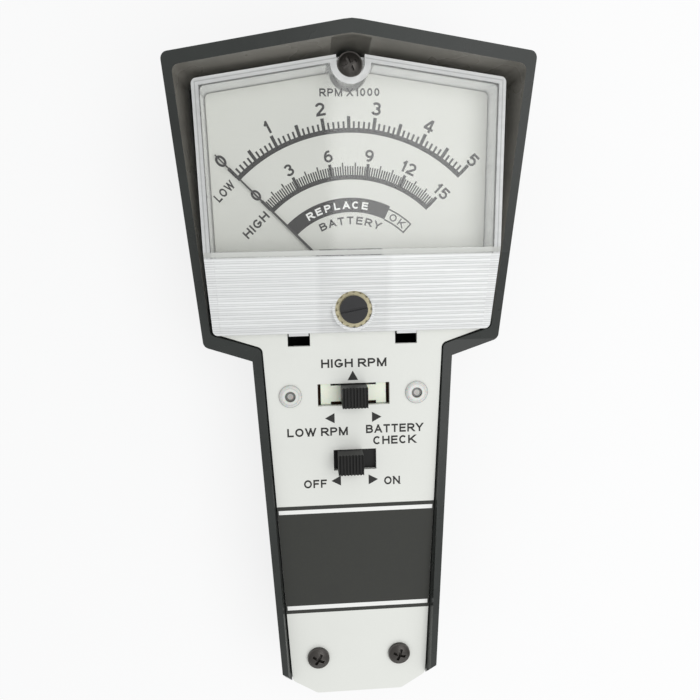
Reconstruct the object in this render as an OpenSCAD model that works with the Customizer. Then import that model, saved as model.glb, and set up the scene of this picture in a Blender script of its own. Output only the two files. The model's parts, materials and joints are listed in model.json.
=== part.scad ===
// Hand-held wireless engine tachometer: a moving-coil meter behind a clear cover, with a range
// slide switch and a power slide switch on the handle.
// It lies on its back, +Y points to the head, +Z out of the panel. Sizes are in millimetres.

/* [Housing] */
// Height of the panel's face above the back of the housing
face_z = 29.5; // [28.5:0.5:34]
// Length of the handle, from its end to the neck
handle_l = 108.7; // [107:0.1:116]
// Distance from the neck to the shoulders, along the handle
shoulder_l = 4.7; // [3:0.1:7]
// Distance from the shoulders to the upper corners of the head, at the panel's face
head_l = 75.7; // [74:0.1:82]
// Rise of the top edge from the upper corners to its peak
peak_rise = 7.2; // [6:0.1:9]
// Half width of the handle's end, between its chamfers
end_half = 13.5; // [11:0.1:16]
// Length of the chamfers at the handle's end
chamfer_l = 6.2; // [5:0.05:7.5]
// Half width of the handle above the chamfers
tail_half = 23.6; // [23:0.1:26]
// Half width of the handle at the neck
neck_half = 29.8; // [28:0.1:32]
// Half width of the head at the shoulders
shoulder_half = 43.8; // [43:0.1:46]
// Half width of the head at its upper corners, at the panel's face
head_half = 46.1; // [45:0.1:49]
// Flare of the side walls from the upright
draft = 8; // [6:0.5:9]
// Thickness of the head's side walls
wall = 2.4; // [2:0.1:2.8]
// Thickness of the walls between the neck and the shoulders
shoulder_wall = 4.1; // [3.4:0.1:4.2]
// Thickness of the handle's walls above its chamfers
handle_wall = 1.8; // [1.6:0.05:2.2]
// Thickness of the handle's walls at the neck
neck_wall = 2.75; // [2.5:0.05:3]
// Thickness of the wall along the top of the head
top_wall = 3.2; // [2.8:0.1:3.6]
// Thickness of the back
back_t = 2.2; // [1.8:0.1:2.8]
// Rise of the hood's edge towards the top of the head, in degrees
hood_slope = 12.3; // [10:0.1:14]
// Rise of the handle's rim towards its end
tail_rise = 3.5; // [2:0.1:5]
// Lean of the rim's ends from the upright, in degrees
tail_lean = 33; // [20:1:45]
// Height of the rim above the panel at the neck
rim_lip = 0.4; // [0.2:0.1:1]
// Radius of the housing's upright corners
corner_r = 2; // [1.5:0.1:3]
// Radius of the corners at the neck, inside the walls
neck_in_r = 1.8; // [1.4:0.1:2.2]
// Radius of the peak at the top of the head
peak_r = 12; // [8:0.5:14]
// Radius of the edges round the back
back_r = 2.4; // [1.5:0.1:3]
// Radius of the driver groove in the top wall
groove_r = 6.2; // [5.8:0.1:6.4]
// Depth of the driver groove in the top wall
groove_depth = 2; // [1.4:0.1:2.2]
// Thickness of the rim above the driver groove
groove_lip = 1; // [0.7:0.1:1.6]
// Width of the ledge that carries the panel's edge
ledge_w = 1.6; // [1.2:0.1:2]
// Height of the ledge
ledge_h = 5; // [4:0.1:7]

/* [Panel] */
// Thickness of the front panel
panel_t = 1.6; // [1.4:0.1:2]
// Gap round the panel's edge
panel_gap = 0.2; // [0.15:0.05:0.3]
// Diameter of the panel screws
screw_d = 3.5; // [3:0.1:3.9]
// Diameter of the screw heads
screw_head_d = 6.9; // [6.2:0.1:7]
// Height of the screw heads
screw_head_h = 1.9; // [1.6:0.1:2.2]
// Length of the panel screws below their heads
screw_l = 12.7; // [10:0.1:16]
// Outer radius of the screw bosses
boss_r = 3.8; // [3.4:0.1:4.2]
// Half the distance between the two lower screws
screw_half = 12.9; // [12:0.1:14]
// Distance of the lower screws from the handle's end
screw_up = 12.4; // [12:0.05:14]
// Distance of the top screw from the peak, at the panel's face
top_screw_down = 6.35; // [6:0.05:7]
// Radial clearance of the screws in their holes
screw_gap = 0.05; // [0.03:0.01:0.1]

/* [Window cover] */
// Height of the window above the panel
cover_h = 11.7; // [11:0.1:13]
// Height of the cover's lower edge above the panel
toe_h = 2.7; // [2.4:0.1:3.2]
// Length of the ribbed ramp below the window
ramp_l = 23.8; // [23:0.1:25]
// Radius of the bend between the ramp and the window
crease_r = 6.4; // [5:0.2:8]
// Distance from the shoulders to the cover's lower edge
cover_up = 3.45; // [3.2:0.05:4.2]
// Gap between the head's side wall and the cover at its lower edge
cover_gap_low = 0.9; // [0.6:0.1:1.4]
// Gap between the head's side wall and the cover at its upper corners
cover_gap_high = 1.7; // [1.4:0.1:2.2]
// Gap between the top wall and the cover
cover_gap_top = 0.5; // [0.4:0.05:0.8]
// Thickness of the cover's side walls
cover_wall = 1.9; // [1.7:0.1:2.1]
// Thickness of the window
window_t = 1.6; // [1.4:0.1:1.8]
// Radius of the cover's corners
cover_r = 1.5; // [1.2:0.1:2]
// Number of ribs on the ramp
rib_count = 16; // [12:1:18]
// Distance from the cover's lower edge to the first rib
rib_foot = 0.8; // [0.6:0.05:1.2]
// Distance from the last rib to the crease
rib_top = 1.6; // [1.5:0.05:2.4]
// Height of the ribs
rib_h = 0.3; // [0.2:0.05:0.4]
// Margin beside the ribs
rib_margin = 2.2; // [2:0.1:3]
// Height of the top screw's seat above the panel
seat_h = 8.2; // [7.5:0.1:8.6]
// Thickness of the seat
seat_t = 1.5; // [1.2:0.1:1.8]
// Radial gap round the top screw's head
notch_gap = 0.35; // [0.25:0.05:0.45]
// Wall round the notch for the top screw
notch_wall = 1.3; // [1.1:0.1:1.5]
// Width of each hook
hook_w = 5.8; // [5:0.1:6.2]
// Distance of the hooks from the middle
hook_x = 16; // [15:0.1:17]
// Thickness of the hooks
hook_t = 1.4; // [1.2:0.1:1.6]
// Distance that the hooks stand in front of the cover's lower edge
hook_out = 0.9; // [0.8:0.1:1.6]
// Reach of the hooks past the cover's lower edge, under the panel
hook_reach = 2.2; // [1.8:0.1:2.4]
// Gap of the hooks in their slots
hook_gap = 0.4; // [0.3:0.05:0.5]
// Length of the slots in the panel, which lets the hooks in
slot_l = 4.9; // [4.7:0.1:5.2]

/* [Dial and pointer] */
// Thickness of the dial plate
dial_t = 1.2; // [1:0.1:1.4]
// Gap between the dial plate and the cover's walls
dial_gap = 0.3; // [0.2:0.05:0.4]
// Distance from the cover's lower edge to the pointer's pivot
pivot_up = 12.25; // [12:0.05:12.6]
// Distance from the pivot to the dial plate's lower edge
dial_up = 9.85; // [9.6:0.05:10.4]
// Depth of the cut-out in the dial plate's lower edge
dial_notch = 2; // [1.5:0.1:2.5]
// Length of the pointer from its pivot
pointer_l = 54; // [50:0.5:56]
// Angle of the pointer left of the centre line, at zero
pointer_rest = 44.3; // [43.5:0.1:45]
// Turn of the pointer from zero to its upper stop
pointer_turn = 91; // [89:0.5:92]
// Turn of the pointer from zero to its lower stop
pointer_back = 2; // [1:0.5:3]
// Thickness of the pointer
pointer_t = 0.3; // [0.25:0.05:0.35]
// Height of the pointer's blade above the panel
blade_h = 2; // [1.9:0.1:2.4]
// Width of the pointer's blade at its root
blade_w = 0.8; // [0.6:0.05:1]
// Width of the pointer's tip
tip_w = 0.36; // [0.3:0.02:0.5]

/* [Meter movement] */
// Radius of the soft iron core
core_r = 4.5; // [4.3:0.05:4.6]
// Radial width of the air gap
air_gap = 1.2; // [1.15:0.05:1.3]
// Height of the pole pieces
pole_h = 9.3; // [8.5:0.1:10]
// Half width of the magnet and the pole pieces
pole_half = 9.2; // [8.9:0.1:9.4]
// Half length of the pole pieces
pole_l = 8; // [7.6:0.1:8.2]
// Gap between the two pole pieces
pole_split = 2; // [1.8:0.1:2.2]
// Length of the field magnet
magnet_l = 4.8; // [4:0.1:5.2]
// Depth of the pole pieces below the panel's face
pole_down = 1.9; // [1.9:0.05:2.1]
// Thickness of the meter frame
frame_t = 2; // [1.8:0.1:2.6]
// Half the distance between the meter screws
meter_screw_x = 14; // [13.6:0.1:14.6]
// Diameter of the meter screws
meter_screw_d = 2.5; // [2.2:0.1:2.8]
// Diameter of the meter screws' heads
meter_head_d = 4.6; // [4.2:0.1:5]
// Height of the meter screws' heads
meter_head_h = 1.6; // [1.4:0.1:1.8]
// Length of the meter screws above the frame
meter_screw_l = 6; // [5:0.1:6.4]
// Radius of the pivots
staff_r = 0.5; // [0.4:0.02:0.55]
// Radius of the jewel screws
jewel_r = 0.8; // [0.75:0.01:0.9]
// Distance of the zero-adjust screw below the pivot
zero_down = 5.2; // [5:0.1:5.4]
// Diameter of the zero-adjust screw's head
zero_head_d = 8; // [7.6:0.1:8.4]
// Eccentricity of the zero-adjust pin
zero_throw = 0.9; // [0.8:0.05:1]
// Radius of the zero-adjust pin
zero_pin_r = 0.5; // [0.4:0.05:0.55]
// Tilt of the slot in the zero-adjust screw
zero_slot_tilt = 10; // [0:1:30]
// Outer diameter of the brass bushing
bushing_d = 10.6; // [10.2:0.1:10.8]
// Number of notches round the bushing
bushing_notches = 16; // [12:1:20]
// Depth of the notches round the bushing
bushing_notch_d = 0.55; // [0.4:0.05:0.6]
// Running clearance of the zero-adjust screw
zero_fit = 0.05; // [0.03:0.01:0.08]

/* [Slide switches] */
// Distance from the battery's end to the range switch
range_up = 32.65; // [31:0.05:33.5]
// Distance between the two slide switches
switch_pitch = 20.4; // [19:0.1:21]
// Travel of a slide switch between two places
switch_step = 3.18; // [3:0.02:3.3]
// Length of the switch knobs
knob_l = 7.6; // [7.2:0.1:7.8]
// Width of the switch knobs
knob_w = 6.15; // [5.8:0.05:6.2]
// Height of the switch knobs above the panel
knob_h = 6.1; // [5:0.1:7]
// Number of grooves across a knob
knob_grooves = 8; // [6:1:9]
// Half length of the range switch's opening
range_open_half = 10.85; // [10.7:0.05:11.2]
// Half width of the range switch's opening
range_open_w = 3.4; // [3.3:0.05:3.5]
// Half length of the power switch's opening
power_open_half = 6.5; // [6.4:0.05:6.9]
// Half width of the power switch's opening
power_open_w = 3.24; // [3.2:0.02:3.3]
// Half length of the slide plates under the knobs
slide_half = 9.9; // [9.7:0.1:10.2]
// Half width of the slide plates
slide_w = 3.3; // [3.1:0.05:3.3]
// Half length of the reliefs along the ivory slide plate
relief_half = 6.9; // [6:0.1:7.5]
// Depth of the reliefs
relief_w = 0.85; // [0.6:0.05:1]
// Distance between the two panel rivets
rivet_pitch = 38.1; // [37.5:0.1:39]
// Diameter of the rivet heads
rivet_head_d = 6.9; // [6.4:0.1:7.4]
// Diameter of the rivet shanks
rivet_d = 4.6; // [4.2:0.1:4.8]
// Thickness of the switch frames' sheet
sheet_t = 0.8; // [0.7:0.05:0.9]
// Depth of the switch frames
frame_depth = 6.4; // [6:0.1:6.8]
// Half length of the range switch's frame
range_frame_half = 15.2; // [15:0.1:15.5]
// Half length of the power switch's frame
power_frame_half = 13.6; // [13.4:0.1:14]
// Distance between the switch terminals along the handle's width
terminal_pitch = 4.2; // [4:0.1:4.4]
// Half the distance between the two rows of terminals
terminal_y = 2.2; // [2:0.1:2.4]
// Gap between sliding pieces
slide_gap = 0.15; // [0.1:0.01:0.2]

/* [Electronics] */
// Depth of the circuit board's upper face below the panel's face
board_down = 11; // [10.6:0.1:11.6]
// Thickness of the circuit board
board_t = 1.6; // [1.2:0.1:1.8]
// Half width of the circuit board
board_half = 20; // [19:0.1:20.5]
// Reach of the circuit board above the range switch
board_head = 8; // [7:0.1:9]
// Gap between the battery's snap and the circuit board
board_gap = 0.55; // [0.3:0.05:1]
// Radius of the filter capacitor
capacitor_r = 4.1; // [3.5:0.1:4.2]
// Length of the filter capacitor
capacitor_l = 11.5; // [10:0.1:11.5]
// Length of the pulse chip
chip_l = 19.2; // [18.6:0.1:19.6]
// Width of the pulse chip
chip_w = 6.4; // [6.1:0.1:6.6]
// Thickness of the pulse chip
chip_h = 3.4; // [3:0.1:3.6]
// Distance of the pulse chip below the range switch
chip_down = 10.6; // [10.2:0.1:11]
// Width of a trimmer, across the board
trimmer_w = 8; // [7:0.1:8]
// Length of a trimmer, along the board
trimmer_l = 7.2; // [6:0.1:7.4]
// Distance between the trimmers
trimmer_pitch = 8.6; // [8.2:0.1:8.7]
// Radius of the disc capacitors
disc_r = 2.6; // [2:0.1:2.7]
// Half width of the pickup plate
pickup_half = 27; // [20:0.5:30]
// Length of the pickup plate
pickup_l = 30; // [20:0.5:32]
// Width of the battery
battery_w = 26.2; // [25.5:0.1:26.5]
// Thickness of the battery
battery_h = 17.3; // [16.5:0.1:17.5]
// Length of the battery without its studs
battery_l = 46.4; // [45:0.1:46.6]
// Thickness of the battery's snap
snap_t = 4.6; // [4:0.1:5]
// Thickness of the foam pad under the battery
pad_t = 1; // [0.8:0.1:1.4]
// Distance of the battery from the handle's end
battery_up = 18.6; // [18.4:0.1:19]
// Diameter of the leads
lead_d = 1.3; // [1:0.1:1.6]

/* [Hidden] */
$fn = 48;
sliver = 0.01;
skin = 0.02;

// Outline of the tray, worked out from the handle's end
peak_angle = atan(peak_rise / head_half);
peak_loss = peak_r * (1 / cos(peak_angle) - 1);
hood_k = tan(hood_slope);
peak_flare = tan(draft) / cos(peak_angle);
hood_peak = (rim_lip + hood_k * (head_l + peak_rise - peak_loss)) / (1 - hood_k * peak_flare);
total_l = handle_l + shoulder_l + head_l + peak_rise - peak_loss + hood_peak * peak_flare;
y_end = -total_l / 2;
y_tail = y_end + chamfer_l;
y_neck = y_end + handle_l;
y_shoulder = y_neck + shoulder_l;
y_corner = y_shoulder + head_l;
y_peak = y_corner + peak_rise;
y_root = y_neck + 20;
root_k = (y_root - y_tail) / (y_neck - y_tail);
root_half = tail_half + (neck_half - tail_half) * root_k;
bay_half = root_half - (neck_wall - handle_wall) * root_k;
top_z = face_z + hood_peak + 2;
ledge_z = face_z - panel_t;
shoulder_k = shoulder_l / (shoulder_half - neck_half);
hidden_l = 8;
throat_half = neck_half - hidden_l;
y_throat = y_neck - hidden_l * shoulder_k;
head_pts = [
    [-throat_half, y_throat], [throat_half, y_throat], [shoulder_half, y_shoulder],
    [head_half, y_corner],
    [0, y_peak], [-head_half, y_corner], [-shoulder_half, y_shoulder]
];
head_walls = [wall, shoulder_wall, wall, top_wall, top_wall, wall, shoulder_wall];
head_r = [corner_r, corner_r, corner_r, corner_r, peak_r, corner_r, corner_r];
handle_pts = [
    [-end_half, y_end], [end_half, y_end], [tail_half, y_tail], [root_half, y_root],
    [-root_half, y_root], [-tail_half, y_tail]
];
bay_pts = [
    [-end_half, y_end], [end_half, y_end], [tail_half, y_tail], [bay_half, y_root],
    [-bay_half, y_root], [-tail_half, y_tail]
];
bay_walls = [for (p = bay_pts) handle_wall];
handle_r = [corner_r, corner_r, corner_r, corner_r, corner_r, corner_r];
open_end = -8;
open_walls = [open_end, open_end, handle_wall, handle_wall, handle_wall, open_end];
panel_inset = shift(ledge_z) + panel_gap;
bay_k = (bay_half - tail_half) / (y_root - y_tail);
bay_neck = (neck_wall - handle_wall) / (1 - bay_k * shoulder_k);
bay_neck_pts = [
    [tail_half, y_tail], [neck_half - bay_neck, y_neck - bay_neck * shoulder_k],
    [shoulder_half, y_shoulder], [0, y_peak]
];
bay_neck_walls = [handle_wall, shoulder_wall, wall, wall];

// Places along the middle line
y_top_screw = y_peak - top_screw_down;
y_low_screw = y_end + screw_up;
y_battery = y_end + battery_up;
y_snap = y_battery + battery_l + snap_t;
y_board = y_snap + board_gap;
y_range = y_battery + battery_l + range_up;
y_power = y_range - switch_pitch;
y_toe = y_shoulder + cover_up;
y_pivot = y_toe + pivot_up;
y_zero = y_pivot - zero_down;
y_crease = y_toe + ramp_l;
y_dial = y_pivot + dial_up;

// Outline of the window cover
side_k = (head_half - shoulder_half) / head_l;
toe_half = shoulder_half + side_k * cover_up - wall - cover_gap_low;
y_ceiling = y_peak - (top_wall + cover_gap_top) / cos(peak_angle);
crown_half = head_half - wall - cover_gap_high;
y_crown = y_ceiling - crown_half * tan(peak_angle);
cover_pts = [[-toe_half, y_toe], [toe_half, y_toe], [crown_half, y_crown], [0, y_ceiling],
    [-crown_half, y_crown]];
cover_walls = [cover_wall, cover_wall, cover_wall, cover_wall, cover_wall];
cover_rs = [cover_r, cover_r, cover_r, peak_r, cover_r];
ramp_k = (cover_h - toe_h) / ramp_l;
ramp_angle = atan(ramp_k);
ramp_drop = window_t / cos(ramp_angle);
notch_r = screw_head_d / 2 + notch_gap;
screw_hole_r = screw_d / 2 + 0.2;
hook_low = panel_t + slide_gap + hook_t;
hook_root = 0.3;

// Heights in the meter, from the panel's face
zero_seat_h = ramp_height(y_zero) + 0.55;
bushing_h = 2;
bushing_r = bushing_d / 2;
collar_floor = 0.5;
zero_head_h = 1.5;
zero_shank_r = 2.5;
zero_pin_low = 1.7;
core_low = -pole_down - pole_h;
coil_t = 0.65;
coil_r = core_r + 0.25;
coil_gap_z = 0.45;
coil_top = -pole_down + coil_gap_z + 0.5;
coil_low = core_low - coil_gap_z - 0.5;
coil_w = 2;
hub_low = coil_top + 0.2;
bore_r = core_r + air_gap;
frame_z = core_low - frame_t;
bridge_z = 0.7;
bridge_t = 1;
bridge_half = pole_half - 0.4;
bridge_w = 1.6;
post_x = 7.6;
lever_z = bridge_z + bridge_t + 0.4;
lever_t = 0.4;
jewel_top = lever_z + lever_t + 0.6;
lower_bridge_z = frame_z - 2;
jewel_fit = 0.05;
nut_h = 0.55;
spring_t = 0.4;
spring_w = 0.14;
spring_r = 3.2;
collet_r = 0.8;
upper_spring_z = -0.05;
stud_y = spring_r + spring_w + 0.02;
lower_spring_z = coil_low - 0.75;
stop_r = 0.4;
stop_at = 6.6;
stop_turn = asin((0.45 + stop_r + 0.05) / stop_at);
crank_a = 7.5;
crank_b = 9.4;

// Board, battery and places of their pieces
board_low = face_z - board_down - board_t;
battery_z = back_t + pad_t;
terminal_x = [-1.5, -0.5, 0.5, 1.5] * terminal_pitch;
power_terminal_x = [-1, 0, 1] * terminal_pitch;
terminal_r = 0.5;
terminal_tail = 1;
power_rest = -switch_step / 2;
base_t = 1.2;
plate_t = 0.7;
plate_z = -panel_t - slide_gap - plate_t;
block_h = 2.7;
pickup_t = 0.4;
stub_l = 0.6;
snap_half = 4.8;
resistor_spots = [[-8.2, 5.2, 0], [7.7, 5.2, 0], [-14.4, 1.6, 90]];

// Inset of a wall's face at height z, from its place at the panel's face
function shift(z) = (face_z - z) * tan(draft);

// Height of the cover's ramp above the panel
function ramp_height(y) = toe_h + ramp_k * (y - y_toe);

// Outward normal of the edge from a to b
function normal(a, b) = [b.y - a.y, a.x - b.x] / norm(b - a);

// Corner i of a convex outline after each edge moves inwards by its own wall plus k
function inset_pt(pts, walls, k, i) =
    let (n = len(pts), h = (i + n - 1) % n, j = (i + 1) % n)
    let (n1 = normal(pts[h], pts[i]), n2 = normal(pts[i], pts[j]))
    let (d1 = walls[h] + k, d2 = walls[i] + k, det = n1.x * n2.y - n1.y * n2.x)
    pts[i] + [d2 * n1.y - d1 * n2.y, d1 * n2.x - d2 * n1.x] / det;

function zeros(pts) = [for (p = pts) 0];

// Outline that rounds the hollow corner 1 of an outline at inset k, from inside the corner
function corner_web(pts, walls, k, r) =
    let (c = inset_pt(pts, walls, k, 1), slip = 0.01, steps = 8)
    let (a = pts[0] - pts[1], b = pts[2] - pts[1])
    let (u = a / norm(a) + b / norm(b), mid = u / norm(u))
    let (half = acos(a * b / norm(a) / norm(b)) / 2, o = c + mid * (r / sin(half) - slip))
    let (turn = atan2(-mid.y, -mid.x), span = 90 - half)
    concat([c - mid], [for (i = [0:steps]) o + r * spin(turn + span * (2 * i / steps - 1))]);

function spin(a) = [cos(a), sin(a)];

// Points of a cubic curve with four control points
function curve(p, steps) = [
    for (i = [0:steps])
        let (t = i / steps, s = 1 - t)
        s * s * s * p[0] + 3 * s * s * t * p[1] + 3 * s * t * t * p[2] + t * t * t * p[3]
];

// Thin slice of a rounded outline, for hulls
module slice(pts, walls, radii, k, z, h = sliver) {
    for (i = [0:len(pts) - 1]) {
        c = inset_pt(pts, walls, k + radii[i], i);
        translate([c.x, c.y, z]) cylinder(r = radii[i], h = h, $fn = 32);
    }
}

// Flat plate with a rounded outline
module plate(pts, walls, radii, k, z, h) {
    hull() slice(pts, walls, radii, k, z, h);
}

// Flared solid with a rounded lower edge
module flared(pts, walls, radii, low, high, edge_r) {
    hull() {
        for (a = [0:30:90]) {
            z = low + edge_r * (1 - sin(a));
            slice(pts, walls, radii, shift(z) + edge_r * (1 - cos(a)), z);
        }
        slice(pts, walls, radii, shift(high), high);
    }
}

// Side profile drawn with y across and z up, extruded over the width w
module along_x(w) {
    translate([-w / 2, 0, 0]) rotate([90, 0, 90]) linear_extrude(w) children();
}

module box(low, high) {
    translate(low) cube(high - low);
}

// Round tube with eight sides along a list of points
module tube(pts, r) {
    n = 8;
    last = len(pts) - 1;
    side_dir = [1, 0, 0];
    rings = [
        for (i = [0:last])
            let (t = pts[min(i + 1, last)] - pts[max(i - 1, 0)])
            let (s = cross(t, side_dir) / norm(cross(t, side_dir)))
            let (u = cross(s, t) / norm(t))
            for (j = [0:n - 1]) pts[i] + r * (cos(j * 360 / n) * s + sin(j * 360 / n) * u)
    ];
    sides = [
        for (i = [0:last - 1], j = [0:n - 1])
            [i * n + j, i * n + (j + 1) % n, (i + 1) * n + (j + 1) % n, (i + 1) * n + j]
    ];
    caps = [[for (j = [n - 1:-1:0]) j], [for (j = [0:n - 1]) last * n + j]];
    polyhedron(points = rings, faces = concat(sides, caps), convexity = 4);
}

module at_face(y) {
    translate([0, y, face_z]) children();
}

// Pan-head screw with its seat at z = 0 and a crossed recess
module pan_screw(d, head_d, head_h, l) {
    difference() {
        union() {
            translate([0, 0, -l]) cylinder(d = d, h = l + sliver);
            rotate_extrude() difference() {
                union() {
                    square([head_d / 2, head_h * 0.45]);
                    translate([0, head_h * 0.45])
                        scale([1, 1]) intersection() {
                            translate([0, head_h * 0.55 - head_d * 0.75])
                                circle(r = head_d * 0.75, $fn = 96);
                            square([head_d / 2, head_h]);
                        }
                }
                translate([-head_d, -head_d]) square([head_d, 3 * head_d]);
            }
        }
        for (a = [0, 90])
            rotate([0, 0, a])
                translate([-head_d * 0.29, -head_d * 0.065, head_h * 0.3])
                    cube([head_d * 0.58, head_d * 0.13, head_h]);
    }
}

// Housing

module posts() {
    for (side = [-1, 1]) {
        translate([side * screw_half, y_low_screw, 0]) cylinder(r = boss_r, h = ledge_z);
        box([side * (battery_w / 2 + 1.2) - 0.8, y_battery + 8, 0],
            [side * (battery_w / 2 + 1.2) + 0.8, y_battery + battery_l - 8, battery_z + 8]);
    }
    translate([0, y_top_screw, 0]) cylinder(r = boss_r, h = ledge_z);
    for (y = [y_battery - 2.2, y_battery + battery_l + 8.2])
        box([-9, y, 0], [9, y + 1.6, battery_z + 3]);
    translate([0, 0, ledge_z - ledge_h]) linear_extrude(ledge_h) difference() {
        square(2 * total_l, center = true);
        ledge_plan(head_pts, head_walls);
        ledge_plan(bay_pts, bay_walls);
    }
}

module ledge_plan(pts, walls) {
    k = shift(ledge_z) + ledge_w;
    polygon([for (i = [0:len(pts) - 1]) inset_pt(pts, walls, k, i)]);
}

module rim_cut() {
    y_low = y_end - 10;
    y_high = y_peak + 20;
    rim_z = face_z + rim_lip;
    along_x(4 * head_half) polygon([
        [y_low, rim_z + tail_rise * (y_neck - y_low) / (y_neck - y_tail)],
        [y_neck, rim_z],
        [y_shoulder, rim_z],
        [y_high, rim_z + hood_k * (y_high - y_shoulder)],
        [y_high, 2 * top_z],
        [y_low, 2 * top_z]
    ]);
}

module end_cut() {
    translate([0, 0, ledge_z]) linear_extrude(top_z)
        polygon([for (i = [0:len(bay_pts) - 1])
            inset_pt(bay_pts, open_walls, shift(ledge_z), i)]);
}

module tail_cut() {
    angle = atan(chamfer_l / (tail_half - end_half));
    for (side = [0, 1])
        mirror([side, 0, 0]) translate([tail_half, y_tail, face_z]) rotate([0, 0, angle])
            along_x(30) polygon([[0, 0], [-20, 0], [-20, 10], [10 * tan(tail_lean), 10]]);
}

module housing() {
    y_wall = y_peak - top_wall / cos(peak_angle) - shift(ledge_z);
    color("#2b2b2b") difference() {
        union() {
            flared(head_pts, zeros(head_pts), head_r, 0, top_z, back_r);
            flared(handle_pts, zeros(handle_pts), handle_r, 0, top_z, back_r);
        }
        for (side = [0, 1])
            mirror([side, 0, 0]) translate([0, 0, ledge_z]) linear_extrude(top_z)
                polygon(corner_web(bay_neck_pts, bay_neck_walls, 0, neck_in_r));
        difference() {
            union() {
                flared(head_pts, head_walls, head_r, back_t, top_z + 1, 1);
                flared(bay_pts, bay_walls, handle_r, back_t, top_z + 1, 1);
            }
            posts();
        }
        rim_cut();
        end_cut();
        tail_cut();
        difference() {
            translate([0, y_wall - groove_r + groove_depth, ledge_z])
                rotate([-draft, 0, 0]) cylinder(r = groove_r, h = top_z);
            translate([0, 0, -groove_lip]) rim_cut();
        }
        for (side = [-1, 1])
            translate([side * screw_half, y_low_screw, ledge_z - screw_l])
                cylinder(d = screw_d + 2 * screw_gap, h = 2 * screw_l);
        translate([0, y_top_screw, ledge_z - screw_l])
            cylinder(d = screw_d + 2 * screw_gap, h = 2 * screw_l);
    }
}

// Front panel, with the bosses that carry the meter

module front_panel() {
    ends = [-panel_inset, -panel_inset, handle_wall, handle_wall, handle_wall, -panel_inset];
    color("#e4e5de") difference() {
        union() {
            plate(head_pts, head_walls, head_r, panel_inset, ledge_z, panel_t);
            plate(bay_pts, ends, handle_r, panel_inset, ledge_z, panel_t);
            for (side = [0, 1])
                mirror([side, 0, 0]) translate([0, 0, ledge_z]) linear_extrude(panel_t)
                    polygon(corner_web(bay_neck_pts, bay_neck_walls, panel_inset,
                        neck_in_r + panel_gap));
            for (side = [-1, 1])
                at_face(y_pivot) translate([side * meter_screw_x, 0, core_low])
                    cylinder(r = 2.8, h = -core_low - panel_t + sliver);
        }
        for (side = [-1, 1]) {
            at_face(y_pivot) translate([side * meter_screw_x, 0, core_low - 1])
                cylinder(d = meter_screw_d + 2 * screw_gap, h = 8);
            at_face(y_low_screw) translate([side * screw_half, 0, -2 * panel_t])
                cylinder(r = screw_hole_r, h = 3 * panel_t);
            at_face(y_range) translate([side * rivet_pitch / 2, 0, -2 * panel_t])
                cylinder(d = rivet_d + 2 * screw_gap, h = 3 * panel_t);
            at_face(y_toe)
                box([side * hook_x - hook_w / 2 - hook_gap, hook_root + hook_gap - slot_l, -2 * panel_t],
                    [side * hook_x + hook_w / 2 + hook_gap, hook_root + hook_gap, panel_t]);
        }
        at_face(y_top_screw) translate([0, 0, -2 * panel_t])
            cylinder(r = screw_hole_r, h = 3 * panel_t);
        at_face(y_range) box([-range_open_half, -range_open_w, -2 * panel_t],
            [range_open_half, range_open_w, panel_t]);
        at_face(y_power) box([-power_open_half, -power_open_w, -2 * panel_t],
            [power_open_half, power_open_w, panel_t]);
        at_face(y_pivot) box([-pole_half - 0.05, -pole_l - 1, -2 * panel_t],
            [pole_half + 0.05, dial_up + dial_notch, panel_t]);
    }
}

module panel_screws() {
    color("#1c1c1c") for (side = [-1, 1])
        at_face(y_low_screw) translate([side * screw_half, 0, 0]) rotate([0, 0, 20 + 50 * side])
            pan_screw(screw_d, screw_head_d, screw_head_h, screw_l);
}

module cover_screw() {
    color("#1c1c1c") at_face(y_top_screw) translate([0, 0, seat_h]) rotate([0, 0, 25])
        pan_screw(screw_d, screw_head_d, screw_head_h, screw_l + seat_h);
}

// Clear cover over the dial

module cover_block(walls, low, high) {
    plate(cover_pts, walls, cover_rs, 0, face_z + low, high - low);
}

module cover_profile(drop, back) {
    y_far = y_peak + 10;
    bend_at = [y_crease + crease_r * tan(ramp_angle / 2), cover_h - crease_r];
    translate([0, 0, face_z]) along_x(4 * head_half) polygon([
        [y_toe + back, -1],
        [y_toe + back, ramp_height(y_toe + back) - drop],
        for (i = [0:8])
            bend_at + (crease_r - window_t * sign(drop)) * spin(90 + ramp_angle * (1 - i / 8)),
        [y_far, cover_h - window_t * sign(drop)],
        [y_far, -1]
    ]);
}

module ramp_ribs() {
    ramp_run = ramp_l - rib_foot - rib_top;
    pitch = ramp_run / cos(ramp_angle) / rib_count;
    start = [y_toe + rib_foot, ramp_height(y_toe + rib_foot)];
    u = [cos(ramp_angle), sin(ramp_angle)];
    n = [-sin(ramp_angle), cos(ramp_angle)];
    last = rib_count * 4;
    half = toe_half - rib_margin;
    translate([0, 0, face_z]) along_x(2 * half) polygon([
        start - 0.3 * n,
        for (i = [0:last]) start + i / 4 * pitch * u + rib_h * sin(45 * (i % 4)) * n,
        start + rib_count * pitch * u - 0.3 * n
    ]);
}

module notch_plan(r) {
    circle(r = r);
    translate([-r, 0]) square([2 * r, 10]);
}

module cover_hooks() {
    for (side = [-1, 1]) at_face(y_toe) {
        x0 = side * hook_x - hook_w / 2;
        box([x0, -hook_out, -hook_low], [x0 + hook_w, hook_root, 1.6]);
        box([x0, -hook_out, -hook_low], [x0 + hook_w, hook_reach, -hook_low + hook_t]);
    }
}

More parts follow.
